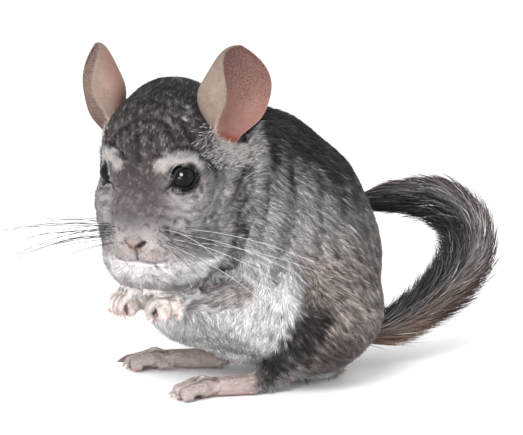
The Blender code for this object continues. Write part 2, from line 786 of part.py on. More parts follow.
# The limbs.
limbs = []
for side, name, heel, turn, elbow, wrist, bow in (
    (1, "left", LEFT_HEEL, LEFT_FOOT_TURN, LEFT_ELBOW, LEFT_WRIST, ARM_BOW[0]),
    (-1, "right", RIGHT_HEEL, RIGHT_FOOT_TURN, RIGHT_ELBOW, RIGHT_WRIST, ARM_BOW[1]),
):
    sole = foot("foot_" + name, heel, turn, side)
    forearm = arm("arm_" + name, elbow, wrist, side, bow)
    for piece in (sole, forearm):
        for other in (torso, neck, head, *thighs):
            combine(piece, inflated(other, LIMB_GAP), "DIFFERENCE", ("MANIFOLD", "EXACT"))
        largest_body(piece)
    paw = hand("hand_" + name, wrist, side)
    for other in (forearm, head, neck, torso):
        combine(paw, inflated(other, GAP), "DIFFERENCE", ("MANIFOLD", "EXACT"))
    largest_body(paw)

# The whiskers and the tail.
for side, name in sides:
    pad = whiskers("whiskers_" + name, side, head)
    combine(pad, inflated(head, GAP), "DIFFERENCE", ("MANIFOLD", "EXACT"))
    largest_body(pad)
for piece in tail():
    if piece.name == "tail_1":
        combine(piece, inflated(torso, GAP), "DIFFERENCE", ("MANIFOLD", "EXACT"))
        largest_body(piece)

for obj in list(bpy.data.objects):
    paint(obj)
    shade_smooth(obj)
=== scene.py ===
# %% [markdown]
# # A grey chinchilla, sitting up
# The animal faces -Y, +Z is up, its left side is +X and the floor is at height 0. All lengths are
# in metres. The frame brings the solid model in; this script dresses it: one skin, a coat of many
# small tufts, bare skin, eyes, whiskers and claws, then a floor, light and a camera.

# %% The frame and its solids
import math

import bmesh
import bpy
import numpy as np
from mathutils import Matrix, Vector


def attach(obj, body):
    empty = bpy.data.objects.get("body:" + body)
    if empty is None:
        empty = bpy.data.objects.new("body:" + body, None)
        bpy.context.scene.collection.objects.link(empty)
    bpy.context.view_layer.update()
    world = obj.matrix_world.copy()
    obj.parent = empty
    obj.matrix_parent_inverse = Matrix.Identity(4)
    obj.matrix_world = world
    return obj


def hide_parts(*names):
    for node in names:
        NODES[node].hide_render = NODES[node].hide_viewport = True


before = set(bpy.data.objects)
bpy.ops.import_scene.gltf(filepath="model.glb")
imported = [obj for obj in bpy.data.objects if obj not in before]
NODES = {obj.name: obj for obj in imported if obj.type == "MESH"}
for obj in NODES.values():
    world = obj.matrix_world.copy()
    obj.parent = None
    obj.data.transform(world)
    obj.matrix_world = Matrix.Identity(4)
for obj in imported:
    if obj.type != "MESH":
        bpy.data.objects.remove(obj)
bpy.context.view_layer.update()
MM = 0.001
UP = np.array([0.0, 0.0, 1.0])
print("solid nodes:", len(NODES))


# %% [markdown]
# ## Places on the animal
# The head is turned and bent, so a place on it is hard to give in the room's axes. It could be
# parented to an empty; here it has its own three axes, forward, left and up from its centre in
# millimetres, because arrays of places can then be turned in one go. The eyes keep the places
# that they have in the solid model.

# %% The head's axes and the eyes
HEAD_CENTRE = np.array([11.0, -83.0, 102.0])
HEAD_TURN = math.radians(48)
HEAD_AXES = np.array([
    [math.sin(HEAD_TURN), -math.cos(HEAD_TURN), 0],
    [math.cos(HEAD_TURN), math.sin(HEAD_TURN), 0],
    [0, 0, 1],
])

EYE_PLACE = np.array([14.4, 18.2, 6.3])
EYE_LOOK = np.array([0.66, 0.75, 0.06])
EYE_RADIUS = 6.3
NOSE_PLACE = np.array([28.5, 0.0, -24.8])


# %% [markdown]
# ## Where the ears and the tail are
# An ear of this animal is a large thin scoop, and the tail curls up behind the body. Both could
# be drawn as curves by hand. A few numbers for each are enough: the ear's root, tip and opening,
# and the places that the middle of the tail passes, with the reach of its hair at each.

# %% The ears' and tail's measures
EAR_LENGTH = 47.0
EAR_DEPTH = 0.58
EARS = {
    "left": dict(side=1, width=40.0, opening=math.radians(62), root=(-8.5, 29, 20),
                 tip=(-21, 38, 69.5)),
    "right": dict(side=-1, width=38.0, opening=math.radians(40), root=(-11, 32, 20),
                  tip=(-21, 55.5, 73.5)),
}

TAIL_PATH = np.array([
    (0, 24, 17), (-3, 43, 21), (-7, 60, 28), (-12, 77, 39), (-18, 89, 54),
    (-25, 88, 69), (-32, 77, 78), (-38, 64, 80), (-43, 51, 79), (-47, 38, 76),
], float)
TAIL_REACH = np.array([9, 11, 13, 15.5, 17, 16.5, 14, 10, 7.5, 3], float)
CORE_SHARE = 0.45
CORE_SHORT = 15.0


# %% [markdown]
# ## From one set of axes to the other
# These turn arrays of places into the head's axes and back, and fold one side of the head over
# onto the other, so that a mark given once is found on both cheeks.

# %% Turning and folding places
def in_head(places):
    """Places in the head's axes, as points of the whole animal in millimetres."""
    return HEAD_CENTRE + np.asarray(places, float) @ HEAD_AXES


def head_axes_of(points):
    """Points of the whole animal in millimetres, measured along the head's axes."""
    return (points - HEAD_CENTRE) @ HEAD_AXES.T


def mirrored(places, axis):
    """The same places, with the side below 0 on one axis folded over onto the other side."""
    folded = places.copy()
    folded[:, axis] = np.abs(folded[:, axis])
    return folded


def ear_frame(spec):
    """An ear's root, and the ways it opens, faces outwards and rises."""
    flip = np.array([1, spec["side"], 1])
    root = in_head(np.array(spec["root"]) * flip)
    length = in_head(np.array(spec["tip"]) * flip) - root
    length = length / np.linalg.norm(length)
    opening = (np.array([math.cos(spec["opening"]), math.sin(spec["opening"]), 0]) * flip) @ HEAD_AXES
    opening = opening - length * np.dot(opening, length)
    opening = opening / np.linalg.norm(opening)
    return root, np.array([opening, np.cross(length, opening) * spec["side"], length])


# %% [markdown]
# ## Soft edges and soft noise
# Markings on fur never end at a hard line. A smooth step and a fading spot give soft edges, and a
# noise of crossed sine waves breaks them up. A noise texture would do this in a shader, but here
# the mesh and the hair must read the same value, so it is worked out with numpy.

# %% Steps, spots and noise
def step(low, high, value):
    """0 below low, 1 above high, with a smooth rise between them."""
    t = np.clip((value - low) / (high - low), 0, 1)
    return t * t * (3 - 2 * t)


def near(points, place, radius, soft=0.5):
    """1 at a place, fading to 0 at a radius round it."""
    gap = np.linalg.norm(points - np.asarray(place, float), axis=1)
    return 1 - step(radius * (1 - soft), radius, gap)


def soft_noise(points, size, seed, waves=14):
    """About -1 to 1: waves of one wavelength in random directions, added up."""
    rng = np.random.default_rng(seed)
    found = np.zeros(len(points))
    for _ in range(waves):
        way = rng.normal(size=3)
        way *= rng.uniform(0.7, 1.5) / np.linalg.norm(way)
        found += np.sin(points @ way * (2 * math.pi / size) + rng.uniform(0, 2 * math.pi))
    return found / math.sqrt(waves)


# %% [markdown]
# ## Meshes from arrays
# A coat has hundreds of thousands of faces, too many to add one at a time. Points and faces are
# worked out as whole arrays and put into the mesh with foreach_set, and what each point carries,
# such as its colour, goes in the same way as an attribute.

# %% Writing meshes and what they carry
def unit(vectors):
    return vectors / np.maximum(np.linalg.norm(vectors, axis=-1, keepdims=True), 1e-12)


def across_surface(vectors, normals):
    """The part of each vector that lies along the surface, at length 1."""
    return unit(vectors - normals * np.sum(vectors * normals, axis=1, keepdims=True))


def mesh_object(name, points, groups, material, smooth=True):
    """An object from points in millimetres and arrays of faces, one for each number of sides."""
    mesh = bpy.data.meshes.new(name)
    loops = np.concatenate([group.ravel() for group in groups]).astype(np.int32)
    totals = np.concatenate([np.full(len(group), group.shape[1], np.int32) for group in groups])
    starts = np.concatenate([[0], np.cumsum(totals)[:-1]]).astype(np.int32)
    mesh.vertices.add(len(points))
    mesh.vertices.foreach_set("co", (np.asarray(points) * MM).astype(np.float32).ravel())
    mesh.loops.add(len(loops))
    mesh.loops.foreach_set("vertex_index", loops)
    mesh.polygons.add(len(totals))
    mesh.polygons.foreach_set("loop_start", starts)
    mesh.polygons.foreach_set("loop_total", totals)
    mesh.update(calc_edges=True)
    mesh.validate()
    mesh.polygons.foreach_set("use_smooth", np.full(len(totals), smooth))
    obj = bpy.data.objects.new(name, mesh)
    bpy.context.scene.collection.objects.link(obj)
    mesh.materials.append(material)
    return obj


def set_value(obj, name, values):
    """Stores one number for each point of a mesh."""
    layer = obj.data.attributes.new(name, "FLOAT", "POINT")
    layer.data.foreach_set("value", np.asarray(values, np.float32))


def set_colour(obj, name, colours):
    """Stores one colour for each point of a mesh."""
    layer = obj.data.attributes.new(name, "FLOAT_COLOR", "POINT")
    full = np.ones((len(colours), 4), np.float32)
    full[:, :3] = colours
    layer.data.foreach_set("color", full.ravel())


# %% [markdown]
# ## Reading meshes back
# The coat grows on the finished skin, so its points, normals and triangles are read back as
# arrays, after its modifiers are made part of it.

# %% Reading points, normals and triangles
def read(items, field, width, kind=np.float32):
    """One field of all of a mesh's points, edges, corners or triangles, as rows of numbers."""
    found = np.empty(len(items) * width, kind)
    items.foreach_get(field, found)
    return found.reshape(-1, width)


def points_of(obj):
    return read(obj.data.vertices, "co", 3).astype(float) / MM


def normals_of(obj):
    return read(obj.data.vertices, "normal", 3).astype(float)


def triangles_of(obj):
    obj.data.calc_loop_triangles()
    return read(obj.data.loop_triangles, "vertices", 3, np.int32)


def applied(obj):
    """Makes the object's modifiers part of its mesh."""
    graph = bpy.context.evaluated_depsgraph_get()
    mesh = bpy.data.meshes.new_from_object(obj.evaluated_get(graph))
    obj.modifiers.clear()
    obj.data = mesh
    return obj


# %% [markdown]
# ## Paths and tubes
# Fingers, toes, claws, whiskers and the tail's core are all round and long. They could be curve
# objects with a bevel. A tube worked out on a grid, once round and once along, gives the same
# shape as arrays and lets each taper at its own rate.

# %% Curves, grids and tubes
def smooth_path(points, count):
    """Points evenly spaced in parameter along a Catmull-Rom curve through the given points."""
    points = np.asarray(points, float)
    padded = np.vstack([2 * points[0] - points[1], points, 2 * points[-1] - points[-2]])
    t = np.linspace(0, len(points) - 1 - 1e-9, count)
    i = t.astype(int)
    f = (t - i)[:, None]
    a, b, c, d = padded[i], padded[i + 1], padded[i + 2], padded[i + 3]
    return 0.5 * (2 * b + (c - a) * f + (2 * a - 5 * b + 4 * c - d) * f**2
                  + (3 * b - a - 3 * c + d) * f**3)


def frames_along(path, up=(0, 0, 1)):
    """The directions across and above at each point of a path, turning no more than it does."""
    ahead = unit(np.gradient(path, axis=0))
    across = [np.cross(ahead[0], np.array(up, float))]
    for direction in ahead:
        turned = across[-1] - direction * np.dot(across[-1], direction)
        across.append(turned / np.linalg.norm(turned))
    across = np.array(across[1:])
    return across, np.cross(across, ahead)


# A face's corners counted the other way round, so that it looks the other way.
OTHER_WAY = [0, 3, 2, 1]


def grid_quads(rows, columns, close_rows=False, close_columns=True):
    """Four-sided faces over rows and columns of points, which may close on themselves."""
    i, j = np.meshgrid(np.arange(rows - (not close_rows)), np.arange(columns - (not close_columns)),
                       indexing="ij")
    after, beside = (i + 1) % rows, (j + 1) % columns
    corners = [i * columns + j, after * columns + j, after * columns + beside, i * columns + beside]
    return np.stack(corners, -1).reshape(-1, 4)


def tube_arrays(path, radii, sides, up=(0, 0, 1)):
    """Points and four-sided faces of a tube, with a point closing each end as three-sided faces."""
    across, above = frames_along(path, up)
    turn = np.linspace(0, 2 * math.pi, sides, endpoint=False)
    radii = np.asarray(radii, float)[:, None, None]
    rings = path[:, None] + (across[:, None] * np.cos(turn)[:, None]
                             + above[:, None] * np.sin(turn)[:, None]) * radii
    count = len(path)
    points = np.vstack([rings.reshape(-1, 3), path[:1], path[-1:]])
    j = np.arange(sides)
    k = (j + 1) % sides
    first = np.stack([j, k, np.full(sides, count * sides)], -1)
    last = np.stack([(count - 1) * sides + k, (count - 1) * sides + j,
                     np.full(sides, count * sides + 1)], -1)
    return points, grid_quads(count, sides), np.vstack([first, last])


def tubes_object(name, tubes, sides, material):
    """One object of many tubes, each a path and its radii; "along" runs from 0 to 1 on each."""
    points, quads, ends, along, start = [], [], [], [], 0
    for path, radii in tubes:
        places, walls, caps = tube_arrays(path, radii, sides)
        points.append(places)
        quads.append(walls + start)
        ends.append(caps + start)
        along.append(np.concatenate([np.repeat(np.linspace(0, 1, len(path)), sides), [0, 1]]))
        start += len(places)
    obj = mesh_object(name, np.vstack(points), [np.vstack(quads), np.vstack(ends)], material)
    set_value(obj, "along", np.concatenate(along))
    return obj


# %% [markdown]
# ## Shaders that read as formulas
# A material is a tree of nodes. It could be wired by hand in the editor. One small class wraps a
# socket so that it can be multiplied, and another adds any node by its type and the values of its
# sockets, so that each material below is a few lines.

# %% Sockets and nodes
def srgb(red, green, blue):
    """A colour as the eye reads it, as light."""
    c = np.array([red, green, blue], float)
    return np.where(c <= 0.04045, c / 12.92, ((c + 0.055) / 1.055) ** 2.4)


class Value:
    """A socket of a node tree that can be multiplied by another."""

    def __init__(self, nodes, socket):
        self.nodes = nodes
        self.socket = socket

    def __mul__(self, other):
        return self.nodes.add("ShaderNodeMath", {0: self, 1: other}, "Value", operation="MULTIPLY")

    __rmul__ = __mul__


class Nodes:
    """The node tree of one material."""

    def __init__(self, name):
        self.material = bpy.data.materials.new(name)
        self.material.use_nodes = True
        self.tree = self.material.node_tree
        self.shader = self.tree.nodes["Principled BSDF"]

    def put(self, socket, value):
        if isinstance(value, Value):
            self.tree.links.new(value.socket, socket)
        else:
            socket.default_value = (*value, 1) if isinstance(value, np.ndarray) else value

    def add(self, kind, inputs=None, output=0, **settings):
        node = self.tree.nodes.new(kind)
        for key, value in settings.items():
            setattr(node, key, value)
        for key, value in (inputs or {}).items():
            self.put(node.inputs[key], value)
        return Value(self, node.outputs[output])

    def attribute(self, name, output="Fac"):
        return self.add("ShaderNodeAttribute", output=output, attribute_name=name)

    def noise(self, scale, detail=3, rough=0.55):
        place = self.add("ShaderNodeTexCoord", output="Object")
        return self.add("ShaderNodeTexNoise", {"Vector": place, "Scale": scale, "Detail": detail,
                                               "Roughness": rough}, "Fac")

    def spread(self, value, low, high, new_low=0.0, new_high=1.0):
        return self.add("ShaderNodeMapRange", {"Value": value, "From Min": low, "From Max": high,
                                               "To Min": new_low, "To Max": new_high}, "Result")

    def mix(self, factor, first, second, blend="MIX"):
        return self.add("ShaderNodeMix", {0: factor, 6: first, 7: second}, 2, data_type="RGBA",
                        blend_type=blend)

    def bump(self, height, strength, distance):
        return self.add("ShaderNodeBump", {"Height": height, "Strength": strength,
                                           "Distance": distance}, "Normal")

    def finish(self, **inputs):
        for key, value in inputs.items():
            self.put(self.shader.inputs[key.replace("_", " ")], value)
        return self.material


# %% [markdown]
# ## Hair and the ground between
# Each hair is darker near its root, where light hardly reaches, and its colour comes from the
# place where it grows. So both materials read the colour stored in the mesh. The skin's is a
# little darker, painted shade for ground that is only seen between the hairs.

# %% The coat's and the skin's material
def coat_material(name):
    """Hair: the stored coat colour with a fine grain, a little darker towards the root."""
    n = Nodes(name)
    along = n.attribute("along")
    colour = n.attribute("coat", "Color")
    root = n.mix(1.0, colour, srgb(0.78, 0.77, 0.77), "MULTIPLY")
    base = n.mix(n.spread(along, 0.0, 0.45), root, colour)
    shade = n.spread(n.noise(900, 2), 0.3, 0.7, 0.88, 1.10)
    tone = n.add("ShaderNodeCombineColor", {"Red": shade, "Green": shade, "Blue": shade}, "Color")
    return n.finish(Base_Color=n.mix(1.0, base, tone, "MULTIPLY"), Roughness=0.62,
                    Specular_IOR_Level=0.25)


def skin_material(name):
    """The ground between the hairs: the coat's colour, darkened as painted shade."""
    n = Nodes(name)
    base = n.mix(1.0, n.attribute("coat", "Color"), srgb(0.80, 0.78, 0.78), "MULTIPLY")
    return n.finish(Base_Color=base, Roughness=0.75, Specular_IOR_Level=0.2,
                    Normal=n.bump(n.noise(700, 3), 0.5, 0.0006))


# %% [markdown]
# ## The coat's colours
# The back is near black, the flank silver, the belly white, the haunch a mottled brown, and the
# face has patches of its own. A picture could be painted on the skin. Plain colours laid over one
# another by formulas are chosen instead, because skin and hair can both ask for the colour at any
# place.

# %% Colours by name
BACK = srgb(0.145, 0.135, 0.145)
FLANK_LOW = srgb(0.74, 0.74, 0.74)
FLANK_HIGH = srgb(0.46, 0.455, 0.465)
HAUNCH = srgb(0.67, 0.63, 0.605)
HAUNCH_DARK = srgb(0.31, 0.27, 0.26)
KNEE = srgb(0.145, 0.12, 0.12)
BELLY = srgb(0.89, 0.885, 0.88)
TAN = srgb(0.68, 0.61, 0.53)
FOREHEAD = srgb(0.255, 0.23, 0.225)
BRIDGE = srgb(0.28, 0.25, 0.24)
FOLD_SHADE = srgb(0.12, 0.105, 0.105)
TEMPLE = srgb(0.37, 0.36, 0.365)
BROW = srgb(0.67, 0.66, 0.65)
CHEEK = srgb(0.60, 0.59, 0.595)
MUZZLE = srgb(0.70, 0.68, 0.665)
LIP = srgb(0.71, 0.66, 0.64)
CHIN = srgb(0.89, 0.885, 0.88)
ARM_SHADE = srgb(0.40, 0.37, 0.36)
PAW = srgb(0.84, 0.80, 0.775)
CLEFT_SHADE = srgb(0.36, 0.31, 0.30)
FOOT = srgb(0.75, 0.71, 0.69)
FOOT_DARK = srgb(0.60, 0.55, 0.52)
RIM = srgb(0.06, 0.055, 0.055)
NOSE = srgb(0.60, 0.53, 0.49)
SLIT_SHADE = srgb(0.20, 0.14, 0.13)
PAD = srgb(0.74, 0.58, 0.55)


# %% [markdown]
# ## Laying colours over one another
# Fur changes colour by mixing hairs, so every mark is a colour and how much of it shows. Each is
# laid over what is there, as thin washes of paint are.

# %% Washes and distance to a line
def blend(base, colour, amount):
    return base + (colour - base) * np.clip(amount, 0, 1)[:, None]


def layered(base, *layers):
    """Colours laid over a base one after another, each with how much of it shows at each place."""
    for colour, amount in layers:
        base = blend(base, colour, amount)
    return base


def on_polyline(points, line):
    """The distance from each point to a line through the given places."""
    line = np.asarray(line, float)
    best = np.full(len(points), 1e9)
    for a, b in zip(line[:-1], line[1:]):
        t = np.clip(((points - a) @ (b - a)) / np.dot(b - a, b - a), 0, 1)
        best = np.minimum(best, np.linalg.norm(points - a - t[:, None] * (b - a), axis=1))
    return best


# %% [markdown]
# ## Folds in the coat
# Dense fur on loose skin gathers in folds: over the brows, round the cheeks, behind the jaw and
# down the flank. They could be sculpted. Here each is a line with a width, a depth and a
# darkness, because the same lines then dent the skin, shorten the hair and paint shade into it.

# %% The folds' lines
# Folds in the head's axes: the places they pass, their width and depth, how much shade is painted
# in them, and whether the other side has the same fold.
FOLDS = [
    ([(20, -19, 21), (19, -4, 33), (18, 7, 33.5), (18, 17, 25)], 1.5, 1.0, 0.75, False),
    ([(12, 22, 24), (12, 14, 33), (9, 1.5, 41)], 1.7, 1.2, 0.85, True),
    ([(22, -1, 27), (25, 1, 15)], 1.3, 0.6, 0.6, False),
    ([(4, 5, 43), (8, 14, 38), (6, 22, 32)], 1.4, 0.7, 0.6, True),
    ([(21, 7, 29), (24, 9, 22), (24, 12, 17)], 1.1, 0.6, 0.6, True),
    ([(25.5, 7, 14), (23, 13, 20), (16, 22, 21.5), (8, 28, 15), (4, 31, 8)], 1.3, 1.0, 0.8, True),
    ([(24, 11, 1), (20, 19, -3), (13, 26, -2), (8, 29, 4)], 1.0, 0.7, 0.34, True),
    ([(23, 13, -6), (17, 24, -9), (9, 30, -7), (3, 32.5, 1)], 1.1, 0.6, 0.34, True),
    ([(20, 19, -14), (11, 29, -15), (2, 34, -8), (-2, 35, 3)], 1.2, 0.7, 0.36, True),
    ([(15, 26, -22), (6, 33, -20), (-2, 37, -8), (-4, 37, 4)], 1.3, 0.6, 0.30, True),
    ([(23, 14, -18), (15, 25, -22), (7, 31, -26)], 1.2, 0.3, 0.5, True),
    ([(22, 16, -21.5), (14, 26, -26), (6, 31, -31)], 1.0, 0.3, 0.45, True),
]

# The fold behind the cheek, down to the arm, with painted shade in it.
CREASE = [(-15, 41, 18), (-11, 40, 6), (-7, 39, -6.5), (-5, 41, -20.4), (-0.6, 38, -35.5),
          (7, 28, -48)]

# Folds down the flank, in the whole animal's axes, with painted shade in them too.
FLANK_FOLDS = [
    ([(30, -22, 112), (38, -25, 93), (43, -29, 80), (47, -38, 58)], 2.6, 1.8, 0.7),
    ([(34, -8, 104), (44, -12, 84), (51, -18, 64), (53, -24, 50)], 2.2, 1.2, 0.45),
    ([(28, -36, 112), (37, -38, 92), (41, -44, 76)], 1.8, 1.0, 0.4),
]


# %% [markdown]
# ## How deep the folds are, and their painted shade
# The distance to each line goes through a bell curve, the formula exp(-(distance / width)
# squared), and the lines wander with the noise so that no two folds look alike. A paler ridge of
# painted light runs beside each fold's painted shade.

# %% Adding the folds up
def fold_sum(points, which):
    """All folds at once, on wandering lines: which is 1 for their depth and 2 for their painted
    shade, less the painted light on the ridges.
    """
    h = head_axes_of(points)
    h = h + 0.9 * np.stack([soft_noise(points, 9, seed) for seed in (72, 73, 74)], 1)
    folded = mirrored(h, 1)
    wave = 1.0 + 0.35 * soft_noise(points, 9, 71) + 0.20 * soft_noise(points, 4, 75)
    found = np.zeros(len(points))
    ridge_light = np.zeros(len(points))
    for line, width, depth, dark, both in FOLDS:
        gap = on_polyline(folded if both else h, line)
        amount = (1.5 * depth if which == 1 else 1.6 * dark) * np.exp(-((gap / (width * 1.35)) ** 2))
        found = found + amount if which == 1 else np.maximum(found, amount)
        # Painted light: a paler ridge beside each fold.
        ridge_light = np.maximum(ridge_light, dark * np.exp(-(((gap - 3.6 * width) / (width * 1.3)) ** 2)))
    found = found - (0.75 * ridge_light * np.clip(1 - 1.5 * found, 0, 1) if which == 2 else 0)
    found = found * head_share(points)
    amount = (3.0 if which == 1 else 0.95) * np.exp(-((on_polyline(folded, CREASE) / 4.2) ** 2))
    amount = amount * step(48, 56, points[:, 2])
    found = found + amount if which == 1 else np.maximum(found, amount)
    either_flank = mirrored(points, 0)
    for line, width, depth, dark in FLANK_FOLDS:
        gap = on_polyline(either_flank, line)
        amount = (depth if which == 1 else dark) * np.exp(-((gap / (width * 1.3)) ** 2))
        found = found + amount if which == 1 else np.maximum(found, amount)
    return found * np.clip(wave, 0.45, 1.4)


# %% [markdown]
# ## Which part of the body a place is on
# The coat is short on the head and limbs and long on the trunk, with soft borders. A painted mask
# would do; a formula on the place alone also works for hair that has no skin under it.

# %% Head, feet, forearms and hands
def head_share(points):
    """1 on the head, 0 on the trunk, with a soft edge behind the cheeks."""
    h = head_axes_of(points)
    lean = 0.93 * h[:, 0] + 0.367 * h[:, 2]
    return step(-13, -8, lean) * step(46, 53, points[:, 2])


FOREARMS = [
    [(30, -80, 48), (42, -55, 52)],
    [(3, -95, 48), (-20, -84, 50), (-42, -68, 52)],
]


def limb_shares(points):
    """How much each place belongs to a foot, a forearm and a hand."""
    y, z = points[:, 1], points[:, 2]
    foot = (1 - step(9, 15, z)) * (1 - step(-46, -36, y))
    arm = np.max([1 - step(6.5, 10, on_polyline(points, line)) for line in FOREARMS], axis=0)
    hand = hand_share(points, 6.6, 8.4)
    return foot, arm * (1 - hand), hand


def hand_share(points, inner, outer):
    """1 near a hand's own middle line, 0 beyond it."""
    gap = np.full(len(points), 1e9)
    for hand in HANDS.values():
        ahead = unit(hand["ahead"])
        line = [hand["palm"] - 2 * ahead, hand["palm"] + 6 * ahead]
        gap = np.minimum(gap, on_polyline(points, line))
    return (1 - step(inner, outer, gap)) * (1 - step(50.6, 51.8, points[:, 2]))


HANDS = {
    "left": dict(palm=np.array([31.5, -88.0, 45.5]), ahead=np.array([-0.25, -0.97, 0.0])),
    "right": dict(palm=np.array([12.0, -100.5, 45.0]), ahead=np.array([0.30, -0.95, 0.0])),
}
FEET = {
    "left": dict(ball=np.array([30.5, -69.5, 0.0]), ahead=np.array([-0.05, -1.0, 0.0])),
    "right": dict(ball=np.array([-33.0, -76.0, 0.0]), ahead=np.array([-0.28, -0.96, 0.0])),
}


def between_digits(points):
    """1 in the clefts between fingers and between toes, where shade is painted."""
    share = np.zeros(len(points))
    for middle, reach, groups in CLEFTS:
        here = np.nonzero(np.linalg.norm(points - middle, axis=1) < 18)[0]
        gaps = np.stack([on_polyline(points[here], line) for line in groups], 1)
        gaps.sort(axis=1)
        close = 1 - step(0.25, 0.9, gaps[:, 1] - gaps[:, 0])
        share[here] = np.maximum(share[here], close * (gaps[:, 0] < reach * 2.2))
    return share


# %% [markdown]
# ## The trunk's markings
# The dark of the back follows the way that the surface faces and is ragged where it meets the
# silver. The white of the chest and belly ends at a leaning line, with the dark knee behind it.

# %% Colours of the trunk
def trunk_colour(points, normals, patch, small, fine, tiny):
    """The trunk's colours, and how much each place belongs to the dark front of the thigh."""
    x, y, z = points.T
    colour = np.tile(FLANK_LOW, (len(points), 1))
    back_facing = 0.75 * normals[:, 1] + 0.66 * normals[:, 2]
    ragged = 0.09 * patch + 0.10 * small + 0.13 * fine + 0.06 * tiny + 0.30 * step(98, 124, z)
    dark = step(0.27, 0.73, back_facing + ragged)
    haunch = (1 - step(62, 92, z + 6 * small)) * step(-34, -18, y + 3 * small)
    low = 1 - step(20, 44, z)
    mottle = 0.45 * small + 0.9 * fine + 0.8 * tiny + 0.9 * (dark - 0.45) + 0.5 * low
    low_rear = haunch * (1 - step(18, 42, z + 4 * small)) * step(-26, -8, y)
    # White from the chest to the knee, whose edge leans back as it rises.
    edge = y + 28 + (44 - z) * 0.44 + 2.0 * small + 1.2 * fine
    belly = (1 - step(-4, 3, edge)) * (1 - step(47, 62, z + 3 * small))
    under = step(0.15, 0.6, -normals[:, 2]) * (1 - step(-8, 8, y)) * (1 - step(20, 34, np.abs(x)))
    knee = step(-3, 3, edge) * (1 - step(10, 26, edge + 4 * small)) * (1 - step(40, 52, z + 4 * fine))
    knee = knee * step(20, 30, np.abs(x)) * step(1, 6, z)
    colour = layered(
        colour,
        (FLANK_HIGH, step(66, 108, z + 7 * small)),
        (BACK, 0.97 * dark * step(34, 58, z) * (0.72 + 0.28 * step(72, 104, z))),
        (HAUNCH, 0.95 * haunch * (1 - 0.55 * dark)),
        (HAUNCH_DARK, 0.92 * haunch * step(-0.35, 0.95, mottle)),
        (BROW, 0.5 * haunch * step(0.4, 1.3, -0.5 * small - 0.7 * fine - 0.6 * tiny)),
        (HAUNCH_DARK, 0.85 * low_rear),
        (BELLY, np.maximum(belly, under)),
        (KNEE, 0.95 * knee),
        (TAN, 0.85 * step(0, 18, y) * (1 - step(10, 30, z + 4 * small))),
    )
    return colour, knee


# %% [markdown]
# ## The head's markings
# The face has pale brows over the eyes, a dark forehead, a pale muzzle with small dark specks,
# and a white chin. Each is a spot or a band in the head's axes, broken up by noise.

# %% Colours of the head
BROW_LINE = [(23.2, 11.8, 12.6), (22.4, 14.5, 15.2), (19.6, 20, 15.6), (12.5, 25.5, 13.4)]


def head_colour(points, h, small, fine, tiny):
    """The head's colours. h is the same points along the head's axes."""
    f, side, u = h.T
    left = np.abs(side)
    folded = mirrored(h, 1)
    crown = step(2, 16, u + 0.45 * (18 - left) + 2 * small)
    bridge = step(4, 22, f) * (1 - step(10, 18, left + 0.15 * u)) * step(-22, -8, u + 2 * small)
    speck = step(0.35, 1.25, 0.8 * fine + 0.9 * tiny) * near(folded, (24, 11, -20), 15, 0.6)
    whisker_shadow_stripes = step(-0.2, 0.9, soft_noise(points * [1, 1, 2.2], 5, 9))
    dusk = near(h, (21, -1, 25), 13, 0.8) * step(-0.5, 0.7, 0.8 * small + 0.7 * fine)
    light = near(h, (10, 15, 36), 12, 0.7) * step(-0.2, 0.9, soft_noise(points, 3.4, 10))
    grain = 0.7 * fine + 0.9 * tiny
    top = np.maximum(crown, 0.8 * bridge)
    chin = 1 - step(-35.5, -31.5, u - 0.10 * np.maximum(left - 14, 0) + 1.0 * small)
    fleck = step(0.9, 1.5, fine + 0.5 * tiny) * near(folded, (22, 6, -39), 12, 0.5)
    brow = on_polyline(folded, BROW_LINE)
    return layered(
        np.tile(CHEEK, (len(points), 1)),
        (TEMPLE, 0.9 * near(folded, (4, 32, 12), 17, 0.8)),
        (FOREHEAD, crown * (1 - 0.6 * step(24, 34, left))),
        (BRIDGE, 0.85 * bridge * (1 - step(6, 20, u))),
        (FOREHEAD, 0.55 * bridge * (1 - step(5, 12, left)) * step(-8, 4, u)),
        (MUZZLE, 0.95 * near(folded, (27, 7, -27), 16, 1.0)),
        (FOREHEAD, 0.65 * speck),
        # Painted light and shadow of the whiskers: pale stripes on the whisker pads.
        (CHIN, 0.35 * (near(folded, (19, 15, -27), 12, 0.8) * whisker_shadow_stripes)),
        (BACK, 0.80 * step(24, 42, u + 3 * small) * (1 - step(-2, 16, f))),
        (BACK, 0.60 * top * step(0.1, 1.2, grain)),
        (BROW, 0.50 * top * step(0.3, 1.4, -grain)),
        (FOREHEAD, 0.40 * (1 - top) * step(0.5, 1.3, grain)),
        (BACK, 0.70 * dusk),
        (BROW, 0.60 * light),
        (CHIN, 0.97 * chin),
        (BACK, 0.75 * fleck),
        (BROW, 0.92 * (1 - step(2.8, 5.2, brow + 0.5 * fine + 0.5 * tiny))),
        (BROW, 0.45 * near(folded, (13, 27, -6), 10, 0.8)),
        (LIP, 0.5 * near(folded, (24, 8, -30.5), 5.5, 0.6) * step(-34, -31, u)),
    )
